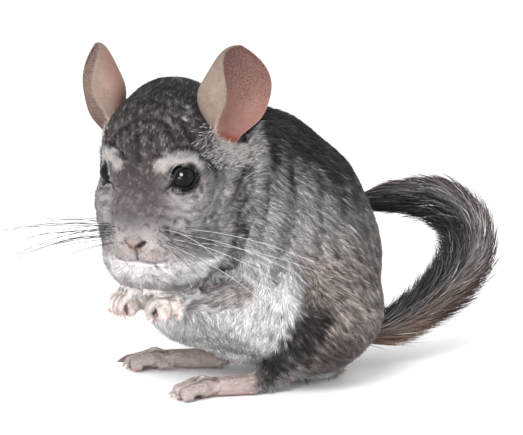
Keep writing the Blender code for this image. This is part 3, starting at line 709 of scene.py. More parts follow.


# %% [markdown]
# ## All markings together
# The trunk's colours come first, then the head's, the folds' painted shade and light, the dark rims
# of the eyes, and the limbs with bare pads below, with painted shade on the forearms and between
# the digits. A last soft mottle runs over them all, because no patch of real fur is one flat tone.

# %% The colour at any place
def coat_colour(points, normals):
    """The coat's colour at points in millimetres, with the way the surface faces there."""
    y, z = points[:, 1], points[:, 2]
    patch = soft_noise(points, 24, 3)
    small = soft_noise(points, 10, 4)
    fine = soft_noise(points, 4.5, 5)
    tiny = soft_noise(points, 2.0, 6)
    h = head_axes_of(points)
    colour, knee = trunk_colour(points, normals, patch, small, fine, tiny)
    fold_shade_and_light = fold_sum(points, 2)
    eye = np.linalg.norm(mirrored(h, 1) - EYE_PLACE, axis=1)
    rim = np.where(h[:, 1] > 0, 8.0, 7.0)
    foot, arm, hand = limb_shares(points)
    upper = step(4, 9, z) * step(-0.6, 0.9, 0.7 * small + 0.8 * fine + 0.02 * (y + 62))
    upper = np.clip(0.75 * upper + 0.55 * step(0.1, 1.2, fine + 0.8 * tiny), 0, 1)
    pads = foot * (1 - step(1.0, 3.0, z)) * step(-0.3, 0.5, fine + small)
    pads = pads + 0.7 * hand * (1 - step(41.5, 43.0, z))
    colour = layered(
        colour,
        (head_colour(points, h, small, fine, tiny), head_share(points)),
        # Painted shade in the folds, and painted light on the paler ridges beside them.
        (FOLD_SHADE, 0.90 * np.clip(fold_shade_and_light, 0, 1)),
        (BROW, 0.75 * np.clip(-fold_shade_and_light, 0, 1)),
        (RIM, 0.97 * (1 - step(0, 1.6, eye - rim)) * head_share(points)),
        # Painted shade on the forearms, in patches.
        (ARM_SHADE, 0.8 * arm * step(-0.5, 0.5, small + 0.4)),
        (FOOT + (FOOT_DARK - FOOT) * upper[:, None], foot * (1 - 0.55 * knee)),
        (HAUNCH_DARK, 0.5 * foot * step(-52, -36, y + 3 * small)),
        (PAW, hand),
        # Painted shade in the clefts between fingers and between toes.
        (CLEFT_SHADE, (0.62 + 0.2 * foot) * between_digits(points)),
        (PAD, 0.7 * pads),
    )
    shade = 1 + 0.10 * patch + 0.13 * small + 0.15 * fine + 0.10 * tiny
    return np.clip(colour * np.clip(shade, 0.45, 1.5)[:, None], 0.003, 0.93)


# %% [markdown]
# ## One skin for the whole animal
# The solids meet with small gaps, which would show through the coat as seams. Hiding them under
# hair takes too much of it, so one closed skin takes their place. These are the solids that it is
# made from, and how fine it is.

# %% What the skin is made from
FLESH = ["torso", "neck", "head", "thigh_left", "thigh_right", "arm_left", "arm_right",
         "foot_left", "foot_right"]
HAND_NODES = ["hand_left", "hand_right"]
TAIL_NODES = ["tail_1", "tail_2", "tail_3", "tail_4"]
SKIN_VOXEL = 0.55
SKIN_TRIANGLES = 170000
GROWN = 0.7


# %% [markdown]
# ## The tail's path
# The tail is a thin core with long hair round it. Its middle is a smooth curve, with a direction
# across and above at each place that turns no more than the curve does, so that the hair doesn't
# twist round it.

# %% The tail measured along its length
TAIL_PLACES = 181
DIGIT_PLACES = 22


def stretched(values, count):
    """Evenly spaced values, read off at more places."""
    return np.interp(np.linspace(0, 1, count), np.linspace(0, 1, len(values)), values)


class Brush:
    """The tail's path measured along its length, with the reach of its hair at each place."""

    def __init__(self):
        self.path = smooth_path(TAIL_PATH, TAIL_PLACES)
        steps = np.linalg.norm(np.diff(self.path, axis=0), axis=1)
        self.along = np.concatenate([[0], np.cumsum(steps)])
        self.length = self.along[-1]
        self.across, self.above = frames_along(self.path)
        self.reaches = stretched(TAIL_REACH, TAIL_PLACES)

    def reach(self, along):
        return np.interp(along, self.along, self.reaches)

    def middle(self, along):
        return np.stack([np.interp(along, self.along, self.path[:, k]) for k in range(3)], -1)

    def out(self, along, turn):
        """The direction out from the tail's middle at a turn round it."""
        across = np.stack([np.interp(along, self.along, self.across[:, k]) for k in range(3)], -1)
        above = np.stack([np.interp(along, self.along, self.above[:, k]) for k in range(3)], -1)
        return across * np.cos(turn)[..., None] + above * np.sin(turn)[..., None]


brush = Brush()


# %% [markdown]
# ## How deep the coat is
# The solids reach to the tips of the fur, so the skin lies inside them by the coat's depth: about
# 4 mm on the trunk, 1 mm on the face and less on the hands.

# %% The coat's depth
def coat_depth(points):
    """How deep the coat is over the skin, in millimetres."""
    h = head_axes_of(points)
    head = head_share(points)
    face = near(h, (24, 0, -10), 42, 0.7)
    depth = 4.2 + (2.2 - 4.2) * head
    depth = depth + (1.1 - depth) * head * face
    depth = depth + (1.5 - depth) * near(mirrored(h, 1), (-14, 33, 26), 15, 0.5)
    foot, arm, hand = limb_shares(points)
    depth = depth + (2.7 - depth) * arm
    depth = depth + (1.3 - depth) * foot
    return depth + (0.6 - depth) * hand


# %% [markdown]
# ## Fingers and toes
# The forepaws are small closed fists, and each hind foot has three long toes and a short one.
# They could be boxes that are subdivided. Tapering tubes with round ends are chosen, because the
# remesh below melts them into one hand or foot, and their lines also give the clefts painted shade.

# %% One digit, and the palms and soles
def digit(path, radii, sides=12):
    """A finger or toe: a round tapering tube along a smooth path."""
    path = smooth_path(path, DIGIT_PLACES)
    rounded = np.sqrt(np.clip((DIGIT_PLACES - np.arange(DIGIT_PLACES)) / 3.0, 0.12, 1))
    radii = stretched(radii, DIGIT_PLACES) * rounded
    return tube_arrays(path, radii, sides, up=(0.3, 0.1, 0.95))


# The palm and metatarsal tubes: their places ahead, aside and above the middle, and their radii.
PALM = [
    ([(-10, 0, 1.2), (-5, 0, 1.0), (-1, 0, 0.2), (2.8, 0, -0.6)], [4.0, 4.2, 4.6, 4.0]),
    ([(-3, -2.6, 0.2), (0.0, -3.2, 0.0), (3.0, -3.2, -1.0)], [3.0, 3.3, 3.0]),
    ([(-3, 2.6, 0.2), (0.0, 3.2, 0.0), (3.0, 3.2, -1.0)], [3.0, 3.3, 3.0]),
    ([(-2.5, -4.6, -1.6), (0.2, -5.6, -3.2), (2.8, -4.8, -4.6)], [1.9, 1.8, 1.5]),
    ([(-3, -1.5, -2.6), (1, 0, -3.2), (4.2, 1.5, -3.2)], [3.0, 3.4, 3.0]),
]
SOLE = [([(-36, 0, 6.4), (-20, 0, 6.0), (-8, 0, 5.8), (4, 0, 4.6)], [8.6, 7.8, 7.2, 4.6])]
FINGERS = [-4.9, -1.65, 1.65, 4.9]
TOES = [(-5.6, 0.80), (-1.8, 1.0), (2.2, 0.93), (5.8, 0.42)]


# %% [markdown]
# ## Setting out the digits
# Each is placed by how far it is ahead, aside and above the middle of its palm or sole. Claws and
# clefts are noted on the way, so that they stay on the digits.

# %% All digits, claws and clefts
def digits():
    """The tubes of palms, fingers, soles and toes, the claws' places, and the digits' own lines."""
    tubes, claws, clefts = [], [], []

    def placer(middle, ahead, base):
        """Gives places by how far ahead, aside and above they are, and adds the base tubes."""
        across = unit(np.cross(ahead, UP))
        place = lambda a, s, u: middle + ahead * a + across * s + UP * u
        for places, radii in base:
            tubes.append(digit([place(*spot) for spot in places], radii))
        return place

    for hand in HANDS.values():
        lines = []
        ahead = unit(hand["ahead"])
        place = placer(hand["palm"], ahead, PALM)
        for n, s in enumerate(FINGERS):
            reach = 1.0 - 0.08 * abs(n - 1.4)
            path = [place(-2.5, s * 0.75, 3.2), place(2.6 * reach, s * 0.98, 3.6),
                    place(6.6 * reach, s * 1.03, 1.6), place(7.6 * reach, s * 1.03, -2.2),
                    place(5.4 * reach, s, -5.0)]
            tubes.append(digit(path, [1.8, 1.9, 1.65, 1.55, 1.5]))
            lines.append(np.array(path))
            claws.append((path[-1] + UP * -0.5, unit(path[-1] - path[-2]), 1.3, 0.5))
        clefts.append((hand["palm"] + ahead * 4, 1.8, lines))
    for foot in FEET.values():
        lines = []
        ahead = unit(foot["ahead"])
        place = placer(foot["ball"], ahead, SOLE)
        for s, reach in TOES:
            path = [place(-11, s * 0.5, 5.0), place(-2, s * 0.85, 6.0),
                    place(4.5 * reach, s * 1.08, 5.8), place(8.8 * reach, s * 1.18, 4.6),
                    place(11.4 * reach, s * 1.22, 3.6)]
            tip = path[-1]
            tubes.append(digit(path, [2.8, 3.0, 2.9, 3.0, 3.3]))
            lines.append(np.array(path[1:]))
            tubes.append(digit([tip - ahead * 4.0, tip - UP * 0.1, tip + ahead * 1.2 - UP * 0.2],
                               [2.6, 3.35, 2.9]))
            claws.append((tip + ahead * 2.9 - UP * 0.6, unit(ahead - 0.8 * UP), 1.5, 0.6))
        clefts.append((foot["ball"] + ahead * 7 + UP * 4, 3.2, lines))
    return tubes, claws, clefts


DIGITS, CLAWS, CLEFTS = digits()


def digit_share(points):
    """1 on the hands and toes, whose shapes here have their own size."""
    share = hand_share(points, 8.0, 9.5)
    for foot in FEET.values():
        ahead = (points - foot["ball"]) @ unit(foot["ahead"])
        aside = np.linalg.norm((points - foot["ball"])[:, :2], axis=1)
        toes = step(-7, 0, ahead) * (1 - step(18, 22, aside)) * (points[:, 2] < 14)
        share = np.maximum(share, toes)
    return share


# %% [markdown]
# ## Joining the flesh
# Copies of the solids are grown until they touch and put into one mesh with the tail's core and
# the digits. A boolean union could do this but often fails on touching faces; a remesh only needs
# them to overlap.

# %% One mesh of all the pieces
def joined_flesh():
    """One mesh of all the pieces of flesh, each grown a little, with new fingers and toes."""
    shell = bmesh.new()
    for name in FLESH:
        piece = bmesh.new()
        piece.from_mesh(NODES[name].data)
        bmesh.ops.remove_doubles(piece, verts=piece.verts, dist=0.00002)
        piece.normal_update()
        for vertex in piece.verts:
            vertex.co += vertex.normal * GROWN * MM
        if name.startswith("foot"):
            foot = FEET[name.split("_")[1]]
            for vertex in piece.verts:
                ahead = float(np.dot(np.array(vertex.co) / MM - foot["ball"], unit(foot["ahead"])))
                middle = foot["ball"] + unit(foot["ahead"]) * ahead + UP * 4.2
                shrink = 0.35 * float(step(-3, 3, ahead))
                vertex.co = vertex.co.lerp(Vector(middle * MM), shrink)
        mesh = bpy.data.meshes.new("piece")
        piece.to_mesh(mesh)
        piece.free()
        shell.from_mesh(mesh)
    along = np.linspace(-8, brush.length - CORE_SHORT, 40)
    path = brush.middle(along) + np.minimum(along, 0)[:, None] * unit(brush.path[1] - brush.path[0])
    core = tube_arrays(path, brush.reach(along) * CORE_SHARE, 16)
    for points, quads, ends in [core, *DIGITS]:
        tube = bpy.data.meshes.new("tube")
        tube.from_pydata((points * MM).tolist(), [], quads.tolist() + ends.tolist())
        shell.from_mesh(tube)
    mesh = bpy.data.meshes.new("skin")
    shell.to_mesh(mesh)
    shell.free()
    obj = bpy.data.objects.new("skin", mesh)
    bpy.context.scene.collection.objects.link(obj)
    return obj


# %% [markdown]
# ## Nose, mouth, ears and brows
# The nose is a small split button, the mouth a short line, and the ears open from a hollow.
# Sculpting would work too. Lines and spots that push the skin out or in by a few millimetres keep
# every form in a list that can be changed.

# %% Lines of the nose and the scoops of the ears
NOSTRIL_LINE = [(28, 1.9, -25.8), (28, 3.2, -24.8), (28, 4.6, -23.8)]
CLEFT_LINE = [(28, 0, -26.6), (28, 0, -32.6)]
MOUTH_LINE = [(28, 0, -33), (28, 5, -33.9), (28, 11, -33.8), (28, 13.5, -33.2)]


def nose_gap(folded, line):
    """The distance to a line on the front of the muzzle, seen from straight ahead."""
    flat = np.where(folded[:, :1] > 16, 0, 50) + np.array([0, 1, 1]) * folded
    return on_polyline(flat, np.array(line, float) * [0, 1, 1])


SCOOP_HEIGHTS = [0, 0.15, 0.31, 0.5, 1]
SCOOP_WIDTHS = [0.40, 0.62, 0.92, 1.03, 1.0]


def in_ear(points):
    """1 inside the scoop of either ear, near its root."""
    share = np.zeros(len(points))
    for spec in EARS.values():
        root, axes = ear_frame(spec)
        ahead, aside, tall = ((points - root) @ axes.T).T
        wide = np.interp(tall / EAR_LENGTH, SCOOP_HEIGHTS, SCOOP_WIDTHS) * spec["width"] / 2
        deep = np.where(ahead < 0, ahead / EAR_DEPTH, 1.4 * ahead)
        inside = 1 - step(0.86, 1.06, np.hypot(deep, aside) / wide)
        share = np.maximum(share, inside * step(-1, 2, tall) * (1 - step(34, 40, tall)))
    return share


# %% [markdown]
# ## The relief of the face
# Brows, cheeks and the pads of the muzzle stand out, and the nose and mouth are cut in. Each adds
# its amount times a soft spot, or takes away its depth times a bell curve.

# %% What stands out and what is cut in
# What stands out of the face: how far, where, how wide, how soft, and whether on both sides.
RAISED = [
    (1.3, (18, 18, 17), 9, 0.9, True),
    (1.6, (22.5, -11.5, 3), 8, 0.9, False),
    (2.8, (22, 11, 5), 9, 0.9, True),
    (1.6, (13, 25, -5), 12, 0.9, True),
    (2.0, (3, 31, 8), 12, 0.9, True),
    (1.0, (26, 6, -28), 9, 0.9, True),
    (0.9, (28.5, 1.5, -24.5), 5.5, 0.8, True),
]
NOSE_CUTS = [(NOSTRIL_LINE, 1.9, 0.85), (CLEFT_LINE, 1.0, 0.7), (MOUTH_LINE, 0.9, 0.8)]


def face_relief(points):
    """How far the skin stands out or is drawn in, in millimetres: folds, brows, nose and mouth."""
    h = head_axes_of(points)
    folded = mirrored(h, 1)
    relief = np.zeros(len(points))
    for amount, place, radius, soft, both in RAISED:
        relief += amount * near(folded if both else h, place, radius, soft)
    for line, depth, width in NOSE_CUTS:
        relief -= depth * np.exp(-((nose_gap(folded, line) / width) ** 2))
    hollow = 5.5 * near(folded, (-14, 35, 25), 12, 0.8) + 7.5 * in_ear(points)
    return relief * head_share(points) - fold_sum(points, 1) - hollow


# %% [markdown]
# ## Lids round the eyes
# The lids leave a rounded opening with a small corner towards the nose. The skin under them has
# to lie on the ball, or the eye looks pasted on. So its points are moved along the ray from the
# eye's middle.

# %% The opening of the lids
CORNER_TURN = -0.55


def eye_frame(side):
    """The middle of an eye and the way it looks, across and above, in the whole animal's axes."""
    flip = np.array([1, side, 1])
    centre = in_head(EYE_PLACE * flip)
    look = unit((EYE_LOOK * flip) @ HEAD_AXES)
    across = unit(np.cross(look, UP))
    return centre, look, across, np.cross(across, look)


def eye_opening(turn):
    """The half width of the lids' opening at a turn round it, counted from the nose side upwards."""
    corner = 0.17 * np.exp(-(((turn - CORNER_TURN + math.pi) % (2 * math.pi) - math.pi) / 0.40) ** 2)
    back = 0.05 * np.exp(-(((turn - CORNER_TURN) % (2 * math.pi) - math.pi) / 0.5) ** 2)
    return 0.84 + corner + back - 0.05 * np.sin(turn) ** 2


def bare_of_lids(points, side, wider=0.0):
    """Each point's way and distance from an eye's middle, and whether the lids leave it open."""
    centre, look, across, above = eye_frame(side)
    away = points - centre
    way = unit(away)
    ahead = way @ look
    off_axis = np.sqrt(np.clip(1 - ahead**2, 0, 1))
    turn = np.arctan2(way @ above, way @ (across * side))
    return way, np.linalg.norm(away, axis=1), (off_axis < eye_opening(turn) + wider) & (ahead > 0)


def set_round_eye(points, side):
    """Skin under the lids lies on the eyeball; skin inside their opening sinks behind it."""
    way, gap, inside = bare_of_lids(points, side)
    new = np.where(inside & (gap < 13), EYE_RADIUS - 1.8, gap)
    new = np.where(~inside & (gap < EYE_RADIUS + 0.7), EYE_RADIUS + 0.7, new)
    return eye_frame(side)[0] + way * new[:, None]


# %% [markdown]
# ## Making the skin
# A voxel remesh turns the overlapping pieces into one surface. Closed hollows inside it are
# dropped, the joins are smoothed, least on the limbs, and the skin is drawn in, shaped and
# thinned. The head gets its relief after that, so that the smoothing doesn't wash it out.

# %% From pieces to one surface
def largest_piece(obj):
    """Keeps the piece of the mesh with the most points, which leaves out closed hollows inside."""
    edges = read(obj.data.edges, "vertices", 2, np.int32)
    label = np.arange(len(obj.data.vertices))
    while True:
        low = np.minimum(label[edges[:, 0]], label[edges[:, 1]])
        new = label.copy()
        np.minimum.at(new, edges[:, 0], low)
        np.minimum.at(new, edges[:, 1], low)
        new = new[new]
        if np.array_equal(new, label):
            break
        label = new
    names, counts = np.unique(label, return_counts=True)
    keep = label == names[np.argmax(counts)]
    shell = bmesh.new()
    shell.from_mesh(obj.data)
    shell.verts.ensure_lookup_table()
    bmesh.ops.delete(shell, geom=[shell.verts[i] for i in np.nonzero(~keep)[0]], context="VERTS")
    shell.to_mesh(obj.data)
    shell.free()


def move_points(obj, points):
    obj.data.vertices.foreach_set("co", (points * MM).astype(np.float32).ravel())
    obj.data.update()


def make_skin():
    obj = joined_flesh()
    remesh = obj.modifiers.new("one_surface", "REMESH")
    remesh.mode = "VOXEL"
    remesh.voxel_size = SKIN_VOXEL * MM
    applied(obj)
    largest_piece(obj)
    points = points_of(obj)
    foot, arm, hand = limb_shares(points)
    weight = np.clip((coat_depth(points) - 0.9) / 2.5, 0.02, 1.0)
    weight = np.maximum(weight * (1 - 0.9 * np.clip(foot + 0.7 * arm + hand, 0, 1)), 0.02)
    group = obj.vertex_groups.new(name="trunk")
    for value in np.unique(np.round(weight, 2)):
        group.add(np.nonzero(np.round(weight, 2) == value)[0].tolist(), float(value), "REPLACE")
    smooth = obj.modifiers.new("smooth", "SMOOTH")
    smooth.factor = 0.5
    smooth.iterations = 60
    smooth.vertex_group = "trunk"
    soften = obj.modifiers.new("soften", "SMOOTH")
    soften.factor = 0.5
    soften.iterations = 3
    applied(obj)
    points, normals = points_of(obj), normals_of(obj)
    tail = step(36, 46, points[:, 1])
    depth = coat_depth(points) * (1 - tail)
    keep = digit_share(points)
    points = points - normals * ((depth + GROWN * (1 - tail)) * (1 - keep))[:, None]
    points[:, 2] = np.maximum(points[:, 2], 0.25)
    move_points(obj, points)
    points = points + normals_of(obj) * face_relief(points)[:, None]
    for side in (1, -1):
        points = set_round_eye(points, side)
    move_points(obj, points)
    thin = obj.modifiers.new("thin", "DECIMATE")
    thin.ratio = min(1.0, SKIN_TRIANGLES / (2 * len(obj.data.polygons)))
    applied(obj)
    obj.vertex_groups.clear()
    obj.data.polygons.foreach_set("use_smooth", np.full(len(obj.data.polygons), True))
    obj.data.materials.clear()
    obj.data.materials.append(SKIN)
    return obj


# %% [markdown]
# ## The finished skin
# The skin gets the coat's own markings, with the bare nose, and painted shade in the nostrils, the
# cleft below the nose and the mouth, laid over them. It replaces all the solids of flesh.

# %% Colouring and placing the skin
def skin_colour(points, normals):
    """The coat's colour, with the bare skin of the nose and painted shade in nostrils, cleft and
    mouth.
    """
    colour = coat_colour(points, normals)
    h = head_axes_of(points)
    folded = mirrored(h, 1)
    here = head_share(points)
    cut = lambda line, low, high: (1 - step(low, high, nose_gap(folded, line))) * here
    return layered(
        colour,
        (NOSE, near(folded, (28.5, 0.5, -25), 4.8, 0.5) * here),
        # Painted shade in the nostrils, the cleft below the nose and the mouth's line.
        (SLIT_SHADE, cut(NOSTRIL_LINE, 0.6, 1.5)),
        (SLIT_SHADE, 0.60 * cut(CLEFT_LINE, 0.3, 1.1)),
        (SLIT_SHADE, 0.40 * cut(MOUTH_LINE, 0.3, 1.1)),
    )


SKIN = skin_material("skin")
COAT = coat_material("coat")
skin = make_skin()
skin_points = points_of(skin)
skin_normals = normals_of(skin)
skin_triangles = triangles_of(skin)
set_colour(skin, "coat", skin_colour(skin_points, skin_normals))
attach(skin, "root")
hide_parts(*FLESH, *HAND_NODES)
print("skin:", len(skin_points), "points,", len(skin_triangles), "triangles")


# %% [markdown]
# ## The lie of the coat
# Hair on the face runs back from the nose, on the trunk back and down, on the chest down, and on
# the feet and hands towards the toes. It could be combed by hand. A direction worked out for any
# place is chosen, laid along the surface, with a slow wave so that it isn't too neat.

# %% The way that the hair points
def lie_of_coat(points, normals):
    """The direction along the surface that hair points to, at each place."""
    from_nose = unit(points - in_head(NOSE_PLACE + np.array([4, 0, 2])))
    x, z = points[:, 0], points[:, 2]
    trunk = np.stack([0.10 * np.sign(x), 0.75 + 0 * x, -0.75 + 0 * x], 1)
    front = step(0.1, 0.7, -normals[:, 1])[:, None] * (1 - step(60, 80, z))[:, None]
    trunk = trunk + front * (np.stack([0.1 * np.sign(x), -0.6 + 0 * x, -0.9 + 0 * x], 1) - trunk)
    share = head_share(points)[:, None]
    lie = trunk + (from_nose - trunk) * share
    foot, arm, hand = limb_shares(points)
    lie = lie + (np.array([0.0, -1.0, -0.15]) - lie) * foot[:, None]
    lie = lie + (np.array([-0.2, -1.0, -0.3]) - lie) * np.clip(arm + hand, 0, 1)[:, None]
    wave = np.stack([soft_noise(points, 17, s) for s in (21, 22, 23)], 1)
    lie = unit(lie) + 0.12 * wave
    return across_surface(lie, normals)


def streaks(points, lie, size, reach, seed):
    """Noise drawn out along the lie of the coat: the mean of a few samples along it."""
    found = sum(soft_noise(points + lie * reach * k, size, seed, waves=20)
                for k in (-1, -0.5, 0, 0.5, 1))
    return found / 2.6


# %% [markdown]
# ## Where the tufts grow
# A particle system would scatter roots too, but it can't be kept as a mesh of known faces. Here
# each triangle of the skin gets its share of roots by its area and the weight there, and each
# root a place inside its triangle.

# %% Roots spread over the skin
ROOT_DEPTH = 0.35
CURL = 0.25
SAG = 0.12
PATCH_SIZE = 0.003


def roots_on_skin(count, weight, seed):
    """Places spread evenly over the skin, closer together where the weight is high."""
    rng = np.random.default_rng(seed)
    a, b, c = (skin_points[skin_triangles[:, k]] for k in range(3))
    area = 0.5 * np.linalg.norm(np.cross(b - a, c - a), axis=1)
    middle = (a + b + c) / 3
    normal = unit(skin_normals[skin_triangles].sum(1))
    share = np.cumsum(area * weight(middle, normal))
    at = (np.arange(count) + rng.uniform(0, 1, count)) / count * share[-1]
    pick = np.searchsorted(share, at).clip(0, len(area) - 1)
    u, v = rng.uniform(0, 1, count), rng.uniform(0, 1, count)
    flip = u + v > 1
    u, v = np.where(flip, 1 - u, u), np.where(flip, 1 - v, v)
    points = a[pick] + (b - a)[pick] * u[:, None] + (c - a)[pick] * v[:, None]
    na, nb, nc = (skin_normals[skin_triangles[pick, k]] for k in range(3))
    normals = unit(na * (1 - u - v)[:, None] + nb * u[:, None] + nc * v[:, None])
    return points, normals, rng


# %% [markdown]
# ## Tufts as small tapers
# A tuft of fur is many fine hairs that end in one soft point. A curve for each hair would be far
# too heavy, so a tuft is a three-sided taper that bends over: its middle is the root plus its
# length times (t along its start plus t squared along its bend).

# %% One mesh of many tufts
def taper_mesh(name, points, levels, shades, patch):
    """Many three-sided tapers as one mesh: three points at each level and one at the tip. Each has
    its own shade, and a small patch of the bake map at its root's place on the skin's unwrap."""
    count, each = points.shape[:2]
    rings = len(levels)
    quads = [(3 * r + j, 3 * r + 3 + j, 3 * r + 3 + (j + 1) % 3, 3 * r + (j + 1) % 3)
             for r in range(rings - 1) for j in range(3)]
    tips = [(each - 4 + (j + 1) % 3, each - 4 + j, each - 1) for j in range(3)]
    base = (np.arange(count) * each)[:, None, None]
    groups = [(base + np.array(faces)).reshape(-1, len(faces[0])) for faces in (tips, quads) if faces]
    obj = mesh_object(name, points.reshape(-1, 3), groups, COAT)
    along = np.array([t for t in levels for _ in range(3)] + [1.0])
    set_value(obj, "along", np.tile(along, count))
    set_colour(obj, "coat", np.repeat(shades, each, axis=0))
    local = np.stack([[0.1, 0.9, 0.5] * rings + [0.5], along], 1)
    spots = (patch[:, None] + PATCH_SIZE * (local - 0.5)).reshape(-1, 2)
    corners = read(obj.data.loops, "vertex_index", 1, np.int32)[:, 0]
    layer = obj.data.uv_layers.new(name="OFBake")
    layer.data.foreach_set("uv", spots[corners].astype(np.float32).ravel())
    return obj


def tuft_mesh(name, root, normal, lie, length, width, rise, colour, rng, patch, rings=(0.0, 0.42)):
    """Many tufts. Each starts just inside the skin, rises off it and bends over along the lie."""
    count = len(root)
    side = unit(np.cross(normal, lie))
    start = np.sin(rise)[:, None] * normal + np.cos(rise)[:, None] * lie
    bend = CURL * (lie - start * np.sum(lie * start, axis=1, keepdims=True)) - SAG * normal
    points = []
    for t in [*rings, 1.0]:
        middle = root - normal * ROOT_DEPTH + length[:, None] * (t * start + t * t * bend)
        wide = (width * (1 - 0.35 * t))[:, None] * 0.5
        corners = [middle + side * wide, middle - side * wide, middle + normal * wide * 1.1]
        points.append(np.stack(corners if t < 1 else [middle], 1))
    points = np.concatenate(points, 1)
    points[..., 2] = np.maximum(points[..., 2], 0.2)
    pale = np.clip(colour.mean(1) / 0.5, 0, 1)
    tone = np.clip(1 + rng.normal(0, 1.0, count) * (0.24 - 0.18 * pale), 0.5, 1.6)
    dark_coat = np.clip(1 - colour.mean(1) / 0.16, 0, 1)
    silver = rng.uniform(0, 1, count) < 0.10 * dark_coat
    tone = tone * np.where(silver, rng.uniform(1.5, 2.8, count), 1)
    warm = rng.normal(0, 0.02, count)[:, None] * np.array([1, 0, -1])
    obj = taper_mesh(name, points, rings, np.clip(colour * (tone[:, None] + warm), 0.002, 1), patch)
    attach(obj, "root")
    return obj


# %% [markdown]
# ## An unwrap for the bake
# Each tuft needs its own small patch on the bake map. A packed unwrap of so many faces would take
# minutes. The root's turn and height on a globe round the body part give every tuft a place at
# once.

# %% Places on a globe
def unwrap(points, centre):
    """Each point's place on a globe round a centre: its turn and its height."""
    away = unit(points - np.asarray(centre, float))
    turn = np.arctan2(away[:, 1], away[:, 0]) / (2 * math.pi) + 0.5
    tall = np.arccos(np.clip(away[:, 2], -1, 1)) / math.pi
    return 0.004 + 0.992 * np.stack([turn, tall], 1)


# %% [markdown]
# ## How thick the coat is set
# Fur is short and close on the face and feet, and long and plush on the trunk. So more roots go
# where tufts are small, fewer on the bare nose, and none in the nostrils, in the ears or where the
# lids leave the eye open.

# %% How close the tufts are
def coat_weight(points, normals):
    """Tufts are set closer on the head and limbs, at half on the nose; none grow in the nostrils, the
    cleft below the nose or the eyes' opening.
    """
    h = head_axes_of(points)
    folded = mirrored(h, 1)
    head = head_share(points)
    weight = 1 + 1.4 * head + 1.8 * near(h, (24, 0, -12), 36, 0.7) * head
    foot, _, hand = limb_shares(points)
    weight = weight + (3.2 - weight) * np.clip(foot + hand, 0, 1)
    for side in (1, -1):
        _, gap, inside = bare_of_lids(points, side, 0.05)
        weight = np.where(inside & (gap < 11), 0, weight)
    bare = near(folded, (28.5, 0.5, -25.5), 4.2, 0.2) > 0.3
    cut = (nose_gap(folded, NOSTRIL_LINE) < 1.0) | (nose_gap(folded, CLEFT_LINE) < 0.9)
    weight = np.where(cut & (head > 0.5), 0, weight)
    weight = np.where(in_ear(points) > 0.4, 0, weight)
    weight = np.where(bare & (head > 0.5), 0.5 * weight, weight)
    weight = np.where(points[:, 1] > 38, 0, weight)
    under = (points[:, 2] < 1.6) & (normals[:, 2] < -0.6)
    return np.where(under, 0, weight)


# %% [markdown]
# ## Layers of the coat
# A real coat has dense short underfur with longer hair over it. One layer of long tufts leaves
# gaps; two on the trunk, the lower thicker and more upright, close it. The head and limbs need
# one short layer. Each layer is cut into pieces of the body that stay small enough to export.

# %% Growing one layer
PIECE_TRIANGLES = 192000
# Tufts widen and stand up more as the coat gets deeper.
DEPTHS = [0.6, 1.1, 2.4, 4.2]
TUFT_WIDTHS = [0.22, 0.28, 0.36, 0.47]
TUFT_RISES = [14, 18, 26, 32]


def part_of(points):
    """Which part of the body each place belongs to: head, trunk, or one of the limbs."""
    foot, arm, hand = limb_shares(points)
    part = np.where(head_share(points) > 0.5, "head", "trunk")
    left = points[:, 0] > 0
    part = np.where(foot > 0.5, np.where(left, "foot_left", "foot_right"), part)
    left = points @ np.array([1, 0.9, 0]) > -58
    return np.where(arm + hand > 0.5, np.where(left, "arm_left", "arm_right"), part)


CENTRES = {
    "head": HEAD_CENTRE + np.array([-3, 2, -4]), "trunk": (0, -22, 58),
    "foot_left": (30, -60, 5), "foot_right": (-32, -68, 5),
    "arm_left": (34, -74, 48), "arm_right": (-10, -90, 48),
}


def grow(name, count, weight, seed, long, wide, steep, rings):
    """One layer of the coat. long, wide and steep scale the tufts' length, width and rise."""
    root, normal, rng = roots_on_skin(count, weight, seed)
    lie = lie_of_coat(root, normal)
    depth = coat_depth(root)
    length = (0.45 + 1.30 * depth) * rng.uniform(0.7, 1.2, count) * long
    length = length * (1 - 0.10 * np.clip(fold_sum(root, 1), 0, 3))
    width = np.interp(depth, DEPTHS, TUFT_WIDTHS) * rng.uniform(0.7, 1.3, count) * wide
    rise = np.interp(depth, DEPTHS, TUFT_RISES) * steep + rng.normal(0, 6, count)
    rise = np.radians(np.clip(rise, 6, 75))
    lie = across_surface(lie + rng.normal(0, 0.17, lie.shape), normal)
    seen = root + lie * (0.5 * length)[:, None]
    colour = coat_colour(seen, normal)
    grain = streaks(seen, lie, 1.3, 1.2, 61) + 0.8 * streaks(seen, lie, 3.2, 2.6, 62)
    strength = 0.64 - 0.46 * np.clip(colour.mean(1) / 0.5, 0, 1)
    colour = colour * np.clip(np.exp(strength * grain), 0.3, 2.6)[:, None]
    part = part_of(root)
    each = 6 * (len(rings) - 1) + 3
    for place, centre in CENTRES.items():
        which = np.nonzero(part == place)[0]
        if len(which) == 0:
            continue
        patch = unwrap(root, centre)
        which = which[np.argsort(patch[which, 0], kind="stable")]
        pieces = math.ceil(len(which) * each / PIECE_TRIANGLES)
        for n, some in enumerate(np.array_split(which, pieces)):
            print(f"{name}_{place}_{n + 1}:", len(some), "tufts")
            tuft_mesh(f"{name}_{place}_{n + 1}", root[some], normal[some], lie[some], length[some],
                      width[some], rise[some], colour[some], rng, patch[some], rings)


# %% [markdown]
# ## The three layers
# The fine fur of head, hands and feet, then the underfur and the top coat of the trunk. The top
# coat lies flatter and has one more ring, so that it can bend.

# %% Fur, underfur and top coat
def head_weight(points, normals):
    """The short coat of head, hands and feet."""
    return coat_weight(points, normals) * (coat_depth(points) < 2.8)


def trunk_weight(points, normals):
    """The long coat of the trunk."""
    return coat_weight(points, normals) * (coat_depth(points) >= 2.8)


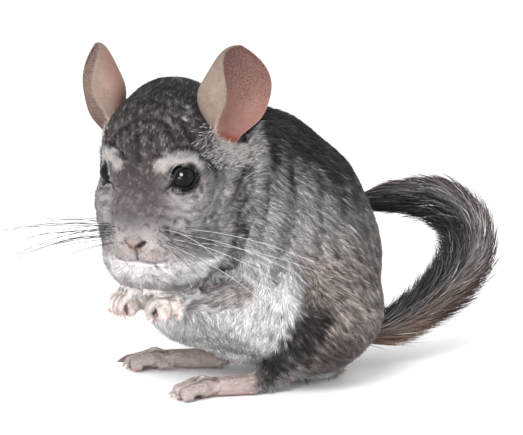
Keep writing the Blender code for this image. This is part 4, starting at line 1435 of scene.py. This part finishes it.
grow("fur", 125000, head_weight, 11, long=1.0, wide=1.0, steep=1.0, rings=(0.0,))
grow("under", 120000, trunk_weight, 12, long=0.75, wide=0.90, steep=1.10, rings=(0.0,))
grow("coat", 62000, trunk_weight, 13, long=0.98, wide=0.92, steep=0.82, rings=(0.0, 0.42))


# %% [markdown]
# ## The tail's colours
# The hair is tan near the root of the tail, grey with a reddish brown outer rim further on, and
# black at the inner side and the tip. A formula on the distance along the tail and the turn round
# it is enough, with some pale and some dusky hairs mixed in.

# %% Colours along and round the tail
TAIL_LOCKS = 9500
LOCK_LEVELS = (0.0, 0.3, 0.62)


def tail_colour(along, turn, rng):
    """Tan by the root, a reddish rim outside, grey between, and black inside and at the tip."""
    count = len(along)
    outer = 0.5 + 0.5 * np.cos(turn - TAIL_OUTER) + rng.normal(0, 0.09, count)
    far = along / brush.length + rng.normal(0, 0.03, count)
    some = lambda share: rng.uniform(0, 1, count) < share
    pale, dusky = some(0.18), some(0.30)
    inner = (1 - step(0.12, 0.50, outer)) * (0.96 - 0.5 * some(0.12))
    tip = step(0.64, 0.88, far) * (1 - 0.6 * step(0.55, 0.9, outer))
    return layered(
        np.tile(srgb(0.54, 0.52, 0.515), (count, 1)),
        (srgb(0.76, 0.75, 0.74), 1.0 * pale),
        (srgb(0.28, 0.25, 0.25), 0.9 * dusky),
        (srgb(0.47, 0.39, 0.33), 0.9 * (1 - step(0.15, 0.42, far)) * step(0.3, 0.8, outer)),
        (srgb(0.21, 0.115, 0.09), 0.93 * step(0.04, 0.20, far) * step(0.60, 0.84, outer)),
        (srgb(0.12, 0.12, 0.13), inner),
        (srgb(0.17, 0.165, 0.18), tip * (0.9 - 0.6 * some(0.3))),
    )


# %% [markdown]
# ## The tail's brush
# Long locks leave the core at a slant and lie over one another, each with its own bend. Short
# tufts like those of the body would make a smooth sausage, so each lock runs 15 to 25 mm along
# the tail while it rises from the core to the brush's outline.

# %% Locks of the brush
def brush_locks():
    rng = np.random.default_rng(31)
    count = TAIL_LOCKS
    root = rng.uniform(-2, brush.length - CORE_SHORT, count)
    turn = rng.uniform(0, 2 * math.pi, count)
    long = rng.uniform(15, 25, count)
    outer = 0.5 + 0.5 * np.cos(turn - TAIL_OUTER)
    grow = rng.uniform(0.62, 1.08, count) * (1 + 0.10 * outer)
    grow = grow * np.where(rng.uniform(0, 1, count) < 0.10, rng.uniform(1.05, 1.28, count), 1)
    drift = rng.normal(0, 0.26, count)
    wide = rng.uniform(0.32, 0.75, count)
    inner = brush.reach(root) * CORE_SHARE * 0.85
    points = []
    for t in [*LOCK_LEVELS, 1.0]:
        along = root + long * t
        over = np.maximum(along - brush.length, 0)
        radius = inner + (brush.reach(along) * grow - inner) * t**0.85
        middle = brush.middle(along) + over[:, None] * unit(brush.path[-1] - brush.path[-2])
        out = brush.out(along, turn + drift * t)
        side = np.cross(out, unit(brush.middle(along + 1) - brush.middle(along - 1)))
        place = middle + out * radius[:, None]
        w = (wide * (1 - 0.45 * t) * 0.5)[:, None]
        corners = [place + side * w, place - side * w, place + out * w]
        points.append(np.stack(corners if t < 1 else [place], 1))
    colour = tail_colour(root, turn, rng)
    shades = np.clip(colour * rng.uniform(0.7, 1.3, count)[:, None], 0.002, 1)
    patch = np.stack([turn / (2 * math.pi), np.clip(root / brush.length, 0, 1)], 1) * 0.99 + 0.005
    obj = taper_mesh("tail_brush", np.concatenate(points, 1), LOCK_LEVELS, shades, patch)
    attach(obj, "root")
    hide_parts(*TAIL_NODES)


def outer_turn():
    """The turn round the tail that faces away from the inside of its curl, at its middle."""
    middle = brush.middle(np.array([brush.length * 0.5]))[0]
    away = unit(middle - np.array([-12.0, 55.0, 52.0]))
    turns = np.linspace(0, 2 * math.pi, 90)
    outs = brush.out(np.full(90, brush.length * 0.5), turns)
    return turns[np.argmax(outs @ away)]


TAIL_OUTER = outer_turn()
brush_locks()
print("tail:", TAIL_LOCKS, "locks over", round(brush.length), "mm")


# %% [markdown]
# ## What eyes are made of
# The eye is a dark, wet ball that shows almost no white. A near black base with a small gloss
# gives the one bright spot; a glass shell over it would cost more and look the same. The lid's
# rim is black and slightly rough.

# %% The eye's and the lid's material
def eye_material():
    n = Nodes("eye")
    return n.finish(Base_Color=srgb(0.012, 0.012, 0.02), Roughness=0.09, Specular_IOR_Level=0.14)


def lid_material():
    n = Nodes("lid")
    grain = n.noise(1500, 3)
    return n.finish(Base_Color=srgb(0.045, 0.04, 0.04), Roughness=0.5, Specular_IOR_Level=0.2,
                    Normal=n.bump(grain, 0.4, 0.0003))


EYE = eye_material()
LID = lid_material()


# %% [markdown]
# ## Eyeballs and lids
# The ball is a sphere on a grid of tilt and spin, a little fuller where it looks out. The rim is
# a ring swept along the opening of the lids, so that it always fits the skin.

# %% A ball and its rim
BALL_ROWS, BALL_COLUMNS = 33, 48
LID_ROWS, LID_COLUMNS = 96, 12


def make_eye(name, side):
    """The ball, a little fuller where it looks out, and the rim of lid that follows the opening."""
    centre, look, across, above = eye_frame(side)
    tilt, spin = np.meshgrid(np.linspace(0, math.pi, BALL_ROWS),
                             np.linspace(0, 2 * math.pi, BALL_COLUMNS, endpoint=False), indexing="ij")
    way = (np.cos(tilt)[..., None] * look + np.sin(tilt)[..., None]
           * (np.cos(spin)[..., None] * across + np.sin(spin)[..., None] * above))
    bulge = EYE_RADIUS + 0.35 * np.exp(-(tilt / 0.6) ** 2)
    points = (centre + way * bulge[..., None]).reshape(-1, 3)
    quads = grid_quads(BALL_ROWS, BALL_COLUMNS)[:, OTHER_WAY]
    ball = mesh_object(f"eyeball_{name}", points, [quads], EYE)
    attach(ball, "root")
    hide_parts(f"eye_{name}")
    turn = np.linspace(-math.pi, math.pi, LID_ROWS, endpoint=False)
    radial = np.cos(turn)[:, None] * (across * side) + np.sin(turn)[:, None] * above
    ring = []
    for spin in np.linspace(0, 2 * math.pi, LID_COLUMNS, endpoint=False):
        wide = np.minimum(eye_opening(turn) + 0.035 + 0.115 * math.cos(spin), 0.995)
        ahead = np.sqrt(np.clip(1 - wide**2, 0.01, 1))
        place = wide[:, None] * radial + ahead[:, None] * look
        ring.append(centre + place * (EYE_RADIUS + 0.22 + 0.40 * math.sin(spin)))
    quads = grid_quads(LID_ROWS, LID_COLUMNS, close_rows=True)
    quads = quads[:, OTHER_WAY] if side > 0 else quads
    lid = mesh_object(f"lid_{name}", np.stack(ring, 1).reshape(-1, 3), [quads], LID)
    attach(lid, "root")
    return ball


EYEBALLS = [make_eye("left", 1), make_eye("right", -1)]
print("eyeballs:", 2 * EYE_RADIUS, "mm across")


# %% [markdown]
# ## What ears are made of
# The ear is thin bare skin, beige outside, pink and finely speckled inside, and light glows
# through it a little. Its colours are washes over one another, as on the coat, but in the shader,
# because the specks are finer than the mesh.

# %% The ear's material
def ear_material():
    n = Nodes("ear_skin")
    tall = n.attribute("tall")
    speck = n.noise(1500, 3, 0.7)
    blotch = n.noise(160, 4, 0.6)

    def laid(base, *layers):
        """Colours laid over a base one after another, as far as each layer's factor lets them."""
        for factor, colour in layers:
            base = n.mix(factor, base, colour)
        return base

    brown = n.mix(n.spread(speck, 0.45, 0.60), srgb(0.50, 0.43, 0.39), srgb(0.29, 0.24, 0.22))
    pink = laid(
        srgb(0.66, 0.50, 0.46),
        (n.spread(tall, 0.25, 0.80), srgb(0.50, 0.385, 0.36)),
        (n.spread(blotch, 0.35, 0.75, 0.0, 0.8), srgb(0.58, 0.42, 0.38)),
        (n.spread(speck, 0.47, 0.60) * n.spread(tall, 0.2, 0.75, 0.1, 0.85), srgb(0.29, 0.22, 0.21)),
        (n.spread(tall, 0.07, 0.12, 0.8, 0.0), srgb(0.60, 0.30, 0.20)),
        (n.spread(n.attribute("flap"), 0.1, 0.6, 0.0, 0.92), brown),
    )
    beige = laid(
        srgb(0.56, 0.50, 0.46),
        (n.spread(blotch, 0.3, 0.7), srgb(0.49, 0.43, 0.39)),
        (n.spread(speck, 0.48, 0.62, 0.0, 0.6), srgb(0.38, 0.32, 0.29)),
        (n.spread(tall, 0.55, 1.0, 0.0, 0.5), srgb(0.40, 0.34, 0.31)),
        (n.spread(n.attribute("rosy"), 0.0, 1.0, 0.0, 0.75), srgb(0.56, 0.415, 0.37)),
        (n.spread(n.attribute("edge"), 0.90, 1.0, 0.0, 0.7), srgb(0.62, 0.54, 0.50)),
    )
    skin = n.mix(1.0, n.mix(n.attribute("inside"), beige, pink), srgb(0.88, 0.865, 0.865), "MULTIPLY")
    return n.finish(Base_Color=skin, Roughness=0.65, Specular_IOR_Level=0.25,
                    Subsurface_Weight=0.10, Subsurface_Scale=0.0015,
                    Subsurface_Radius=(1.0, 0.45, 0.3), Normal=n.bump(speck, 0.35, 0.0003))


# %% [markdown]
# ## The ear's shape
# A scoop with its inner edge rolled well round. It could be cut from a sphere. Here its width and
# how far it turns round are given at stations up the ear, smoothed, and rounded off by a cap at
# the tip, so that each ear can open its own way.

# %% Stations and the sheet between them
EAR = ear_material()
EAR_STATIONS = [0, 0.15, 0.31, 0.44, 0.56, 0.70, 0.84, 0.93, 1]
EAR_MEDIAL = [0.40, 0.62, 0.96, 1.06, 0.95, 0.84, 0.78, 0.78, 0.78]
EAR_LATERAL = [0.26, 0.45, 0.84, 0.98, 1.03, 1.05, 1.03, 1.0, 1.0]
EAR_INNER_TURN = [125, 130, 143, 146, 136, 119, 102, 88, 75]
EAR_OUTER_TURN = [95, 98, 96, 92, 88, 84, 80, 76, 70]


def eased(x, stations, values):
    """A smooth curve through values at stations."""
    fine = np.linspace(0, 1, 200)
    curve = np.interp(fine, stations, values)
    padded = np.concatenate([np.full(12, curve[0]), curve, np.full(12, curve[-1])])
    kernel = np.hanning(25) / np.hanning(25).sum()
    return np.interp(x, fine, np.convolve(padded, kernel, "valid"))


def ear_sheet(spec, rows=56, columns=84):
    """The middle of the ear's thickness, its normals, and how near each point is to the edge."""
    along = np.sin(np.linspace(0, math.pi / 2, rows))[:, None]
    smooth = lambda values: eased(along, EAR_STATIONS, values)
    cap = (1 - np.clip((along - 0.58) / 0.42, 0, 0.999) ** 3.0) ** 0.46
    medial = smooth(EAR_MEDIAL) * cap * spec["width"] / 2
    lateral = smooth(EAR_LATERAL) * cap * spec["width"] / 2
    inner, outer = smooth(EAR_INNER_TURN), smooth(EAR_OUTER_TURN)
    angle = np.radians(-inner + (inner + outer) * np.linspace(0, 1, columns)[None])
    wide = np.where(angle < 0, medial, lateral)
    x = -EAR_DEPTH * 0.5 * (medial + lateral) * np.cos(angle)
    x = x - 0.50 * EAR_DEPTH * (1 - cap) * spec["width"] / 2
    y = wide * np.sin(angle)
    edge = np.abs(np.linspace(-1, 1, columns)[None])
    z = (along - 0.05 * along**3 * edge**2 * cap) * EAR_LENGTH
    sheet = np.stack(np.broadcast_arrays(x, y, z), -1)
    for _ in range(8):
        sheet[1:-1] = 0.5 * sheet[1:-1] + 0.25 * (sheet[:-2] + sheet[2:])
        sheet[:, 1:-1] = 0.5 * sheet[:, 1:-1] + 0.25 * (sheet[:, :-2] + sheet[:, 2:])
    root, axes = ear_frame(spec)
    sheet = sheet @ axes + root
    normal = unit(np.cross(np.gradient(sheet, axis=1), np.gradient(sheet, axis=0))) * spec["side"]
    across = np.linspace(-1, 1, columns)[None] * np.ones((rows, 1))
    return sheet, normal, across, np.broadcast_to(along, sheet.shape[:2])


# %% [markdown]
# ## From a sheet to an ear
# The sheet gets its thickness by a front and a back, thinner at the edge, with a wall between
# them. Attributes tell the shader which side is inside and how near the edge is.

# %% Front, back and rim
def make_ear(name, spec):
    sheet, normal, across, along = ear_sheet(spec)
    edge = np.abs(across)
    rows, columns = edge.shape
    half = 0.5 * np.interp(edge, [0, 0.85, 1], [1.1, 0.8, 0.4])[..., None]
    front, back = sheet + normal * half, sheet - normal * half
    points = np.concatenate([front.reshape(-1, 3), back.reshape(-1, 3)])
    face = grid_quads(rows, columns, close_columns=False)[:, OTHER_WAY]
    other = rows * columns
    rim = np.concatenate([np.arange(rows) * columns,
                          (rows - 1) * columns + np.arange(1, columns),
                          np.arange(rows - 2, -1, -1) * columns + columns - 1,
                          np.arange(columns - 2, 0, -1)])
    after = np.roll(rim, -1)
    wall = np.stack([rim, after, other + after, other + rim], -1)
    if spec["side"] < 0:
        quads = np.vstack([face[:, ::-1], other + face, wall[:, ::-1]])
    else:
        quads = np.vstack([face, other + face[:, ::-1], wall])
    obj = mesh_object(f"ear_skin_{name}", points, [quads], EAR)
    set_value(obj, "inside", np.concatenate([np.ones(other), np.zeros(other)]))
    set_value(obj, "tall", np.tile(along.ravel(), 2))
    set_value(obj, "edge", np.tile(edge.ravel(), 2))
    right = spec["side"] < 0
    set_value(obj, "flap", np.tile(np.clip(across * right * 1.5, 0, 1).ravel(), 2))
    set_value(obj, "rosy", np.tile(np.clip((across + 0.95) / 0.5 * right, 0, 1).ravel(), 2))
    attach(obj, "root")
    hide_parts(f"ear_{name}")
    ear_down(name, sheet, normal, across, along)


# %% [markdown]
# ## Down and fringe
# Fine down covers the back and the rim of the ear, and paler, longer hair grows round its root,
# which hides the line where it meets the head. Both are the coat's own tufts, very small.

# %% Small hair on and round the ears
def ear_down(name, sheet, normal, across, along):
    """Short down on the ear: on its back, along its edges and, longer and pale, round its root."""
    rng = np.random.default_rng(81)
    rows, columns = along.shape
    count = 9000
    i, j = rng.integers(0, rows - 2, count), rng.integers(0, columns - 1, count)
    root, out = sheet[i, j], -normal[i, j]
    tall, aside = along[i, j], np.abs(across[i, j])
    root = root + (sheet[i + 1, j] - root) * rng.uniform(0, 1, (count, 1)) + out * 0.45
    rim = (aside > 0.93) & (rng.uniform(0, 1, count) < 0.9)
    keep = rim | (rng.uniform(0, 1, count) < np.interp(tall, [0, 0.2, 0.5, 1], [1, 0.9, 0.55, 0.4]))
    lie = across_surface(sheet[i + 1, j] - sheet[i, j] + rng.normal(0, 0.12, (count, 3)), out)
    outward = unit(sheet[i, j] - sheet[i, np.full(count, columns // 2)])
    lie = np.where(rim[:, None], unit(lie + 0.5 * outward), lie)
    long = np.interp(tall, [0, 0.25, 0.6, 1], [3.6, 2.4, 1.5, 1.1]) * rng.uniform(0.7, 1.2, count)
    colour = np.tile(srgb(0.54, 0.49, 0.45), (count, 1))
    colour = blend(colour, srgb(0.74, 0.70, 0.67), 1 - step(0.04, 0.30, tall))
    colour = blend(colour, srgb(0.40, 0.34, 0.31), step(0.5, 1.0, tall) * 0.7)
    colour = colour * rng.uniform(0.75, 1.25, count)[:, None]
    patch = np.stack([0.01 + 0.98 * (across[i, j] + 1) / 2, 0.01 + 0.98 * tall], 1)
    pick = np.nonzero(keep)[0]
    width, rise = np.full(len(pick), 0.20), np.full(len(pick), math.radians(9))
    tuft_mesh(f"ear_down_{name}", root[pick], out[pick], lie[pick], long[pick], width, rise,
              colour[pick], rng, patch[pick], (0.0,))


def ear_fringe(name, spec):
    """Pale longer hairs on the head round the mouth of the ear."""
    rng = np.random.default_rng(83)
    root, axes = ear_frame(spec)
    ahead, aside, tall = ((skin_points - root) @ axes.T).T
    close = np.exp(-((ahead - 5) / 5) ** 2 - (aside / 9) ** 2 - ((tall + 2) / 6) ** 2)
    pick = rng.choice(len(skin_points), 1500, p=close / close.sum())
    place, out = skin_points[pick], skin_normals[pick]
    way = np.array([0.7, 0.35, 0.5]) @ axes
    lie = across_surface(way + 0.3 * out + rng.normal(0, 0.25, (len(pick), 3)), out)
    colour = np.tile(srgb(0.72, 0.70, 0.69), (len(pick), 1)) * rng.uniform(0.6, 1.15, (len(pick), 1))
    long, width = rng.uniform(3.0, 6.5, len(pick)), np.full(len(pick), 0.26)
    rise = np.radians(rng.uniform(20, 65, len(pick)))
    tuft_mesh(f"ear_fringe_{name}", place, out, lie, long, width, rise, colour, rng,
              unwrap(place, CENTRES["head"]))


for name, spec in EARS.items():
    make_ear(name, spec)
    ear_fringe(name, spec)


# %% [markdown]
# ## Claws
# Each digit ends in a small blunt horn, half hidden by fur. A short tube that tapers and bends
# down is all that can be seen of it, pale at the root and darker at the tip.

# %% A claw on each digit
def claw_material():
    n = Nodes("claw")
    colour = n.mix(n.attribute("along"), srgb(0.62, 0.52, 0.47), srgb(0.32, 0.27, 0.25))
    return n.finish(Base_Color=colour, Roughness=0.35)


def make_claws():
    tubes = []
    for start, way, long, radius in CLAWS:
        t = np.linspace(0, 1, 7)[:, None]
        path = start + way * long * t - UP * 0.45 * long * t**2
        path[:, 2] = np.maximum(path[:, 2], 0.6)
        tubes.append((path, radius * (1 - 0.85 * t[:, 0])))
    obj = tubes_object("claws", tubes, 8, claw_material())
    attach(obj, "root")


make_claws()
print("claws:", len(CLAWS))


# %% [markdown]
# ## Whiskers
# Long stiff hairs stand in rows of four on each side of the muzzle, the hindmost the longest, and
# sag a little. They are thin tubes, not tufts, because each is seen on its own. Some on the near
# side get a painted highlight: they are made pale, as if they caught the light.

# %% Whiskers in rows
def whisker_material():
    n = Nodes("whisker")
    # The pale colour is a painted highlight.
    pale = n.mix(n.attribute("along"), srgb(0.55, 0.54, 0.53), srgb(0.80, 0.79, 0.78))
    dark = n.mix(n.attribute("along"), srgb(0.07, 0.07, 0.07), srgb(0.30, 0.29, 0.29))
    return n.finish(Base_Color=n.mix(n.attribute("pale"), dark, pale), Roughness=0.35)


WHISKER = whisker_material()
WHISKERS = 22
WHISKER_SIDES = 5
WHISKER_PLACES = 14
WHISKER_RADIUS = 0.19


def make_whiskers(name, side):
    """Rows of four from the muzzle back, the hindmost the longest; a third of the left are painted
    pale as a highlight.
    """
    rng = np.random.default_rng(40 + side)
    tubes, pale = [], []
    for n in range(WHISKERS):
        row, column = n % 4, n // 4
        root = np.array([24.5 - 1.9 * column, (9.0 + 2.0 * column) * side, -17.5 - 2.3 * row])
        root = root + rng.normal(0, 0.4, 3)
        spread = math.radians(45 + 13 * column + 5 * row + rng.normal(0, 5))
        rise = 0.06 - 0.05 * row + rng.normal(0, 0.03)
        away = unit(np.array([math.cos(spread), math.sin(spread) * side, rise]))
        long = (62 + 7 * column - 2 * row) * rng.uniform(0.72, 1.0)
        t = np.linspace(0, 1, WHISKER_PLACES)[:, None]
        path = in_head(root + away * long * t - np.array([0, 0, 13]) * t**2)
        tubes.append((path, WHISKER_RADIUS * (1 - 0.7 * t[:, 0])))
        # Painted highlight: a third of the near, left whiskers are made pale.
        pale.append(float(n % 3 == 1 and side > 0))
    obj = tubes_object(f"whisker_hairs_{name}", tubes, WHISKER_SIDES, WHISKER)
    set_value(obj, "pale", np.repeat(pale, WHISKER_SIDES * WHISKER_PLACES + 2))
    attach(obj, "root")
    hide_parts(f"whiskers_{name}")


make_whiskers("left", 1)
make_whiskers("right", -1)
print("whiskers:", 2 * WHISKERS)


# %% [markdown]
# ## The floor
# A pale matt floor takes the soft shadow under the animal. It is large, so that its edge is never
# seen, and it is not attached to the model.

# %% A pale floor
def floor_material():
    n = Nodes("floor")
    return n.finish(Base_Color=srgb(0.97, 0.97, 0.975), Roughness=0.9, Specular_IOR_Level=0.1)


FLOOR_REACH = 3000.0
FLOOR_CORNERS = np.array([(-1, -1, 0), (1, -1, 0), (1, 1, 0), (-1, 1, 0)]) * FLOOR_REACH
floor = mesh_object("floor", FLOOR_CORNERS, [np.array([[0, 1, 2, 3]])], floor_material(),
                    smooth=False)


# %% [markdown]
# ## Light
# A studio's large soft lamps give soft shadows: a key from above and in front, a low one for the
# chest, and a weak fill from behind. A white world lights the rest. A small separate light, which
# only the eyes take, gives them their bright spot.

# %% Lamps and the world
def soft_light(name, place, target, size, power):
    data = bpy.data.lights.new(name, "AREA")
    data.shape = "DISK"
    data.size = size
    data.energy = power
    obj = bpy.data.objects.new(name, data)
    bpy.context.scene.collection.objects.link(obj)
    obj.location = place
    obj.rotation_euler = (Vector(target) - Vector(place)).to_track_quat("-Z", "Y").to_euler()
    return obj


world = bpy.data.worlds.new("studio")
world.use_nodes = True
world.node_tree.nodes["Background"].inputs["Color"].default_value = (1, 1, 1, 1)
world.node_tree.nodes["Background"].inputs["Strength"].default_value = 1.2
bpy.context.scene.world = world
bpy.context.scene.view_settings.view_transform = "Standard"
soft_light("key", (1.0, -0.7, 1.1), (0, -0.03, 0.08), 0.75, 20)
soft_light("low", (0.8, -0.85, 0.05), (0, -0.04, 0.03), 0.5, 10.5)
soft_light("fill", (0.7, 0.9, 0.6), (0, -0.03, 0.08), 0.9, 2)
# The light in the eyes, which nothing else takes.
catch = soft_light("catch", (0.95, -0.62, 0.75), (0.02, -0.08, 0.1), 0.55, 45)
eyes = bpy.data.collections.new("eyes")
for piece in EYEBALLS:
    eyes.objects.link(piece)
catch.light_linking.receiver_collection = eyes


# %% [markdown]
# ## Camera
# The camera's place is estimated from the picture: about 1.1 m off, on the animal's left and a
# little ahead of it, slightly above, with a long lens. A constraint could aim it. Its three axes
# are worked out from two angles and put into its matrix, so that nothing has to be evaluated.

# %% The camera
FOCAL_PIXELS = 2200.0
PICTURE_WIDTH = 523
CAMERA_PLACE = Vector((1.016, -0.359, 0.269))
azimuth, elevation = math.radians(72), math.radians(10)
level = math.cos(elevation)
back = Vector((math.sin(azimuth) * level, -math.cos(azimuth) * level, math.sin(elevation)))
right = Vector((math.cos(azimuth), math.sin(azimuth), 0))
turn = Matrix((right, back.cross(right), back)).transposed()
lens = bpy.data.cameras.new("camera")
lens.sensor_width = 36
lens.lens = lens.sensor_width * FOCAL_PIXELS / PICTURE_WIDTH
camera = bpy.data.objects.new("camera", lens)
bpy.context.scene.collection.objects.link(camera)
camera.matrix_world = Matrix.Translation(CAMERA_PLACE) @ turn.to_4x4()
bpy.context.scene.camera = camera
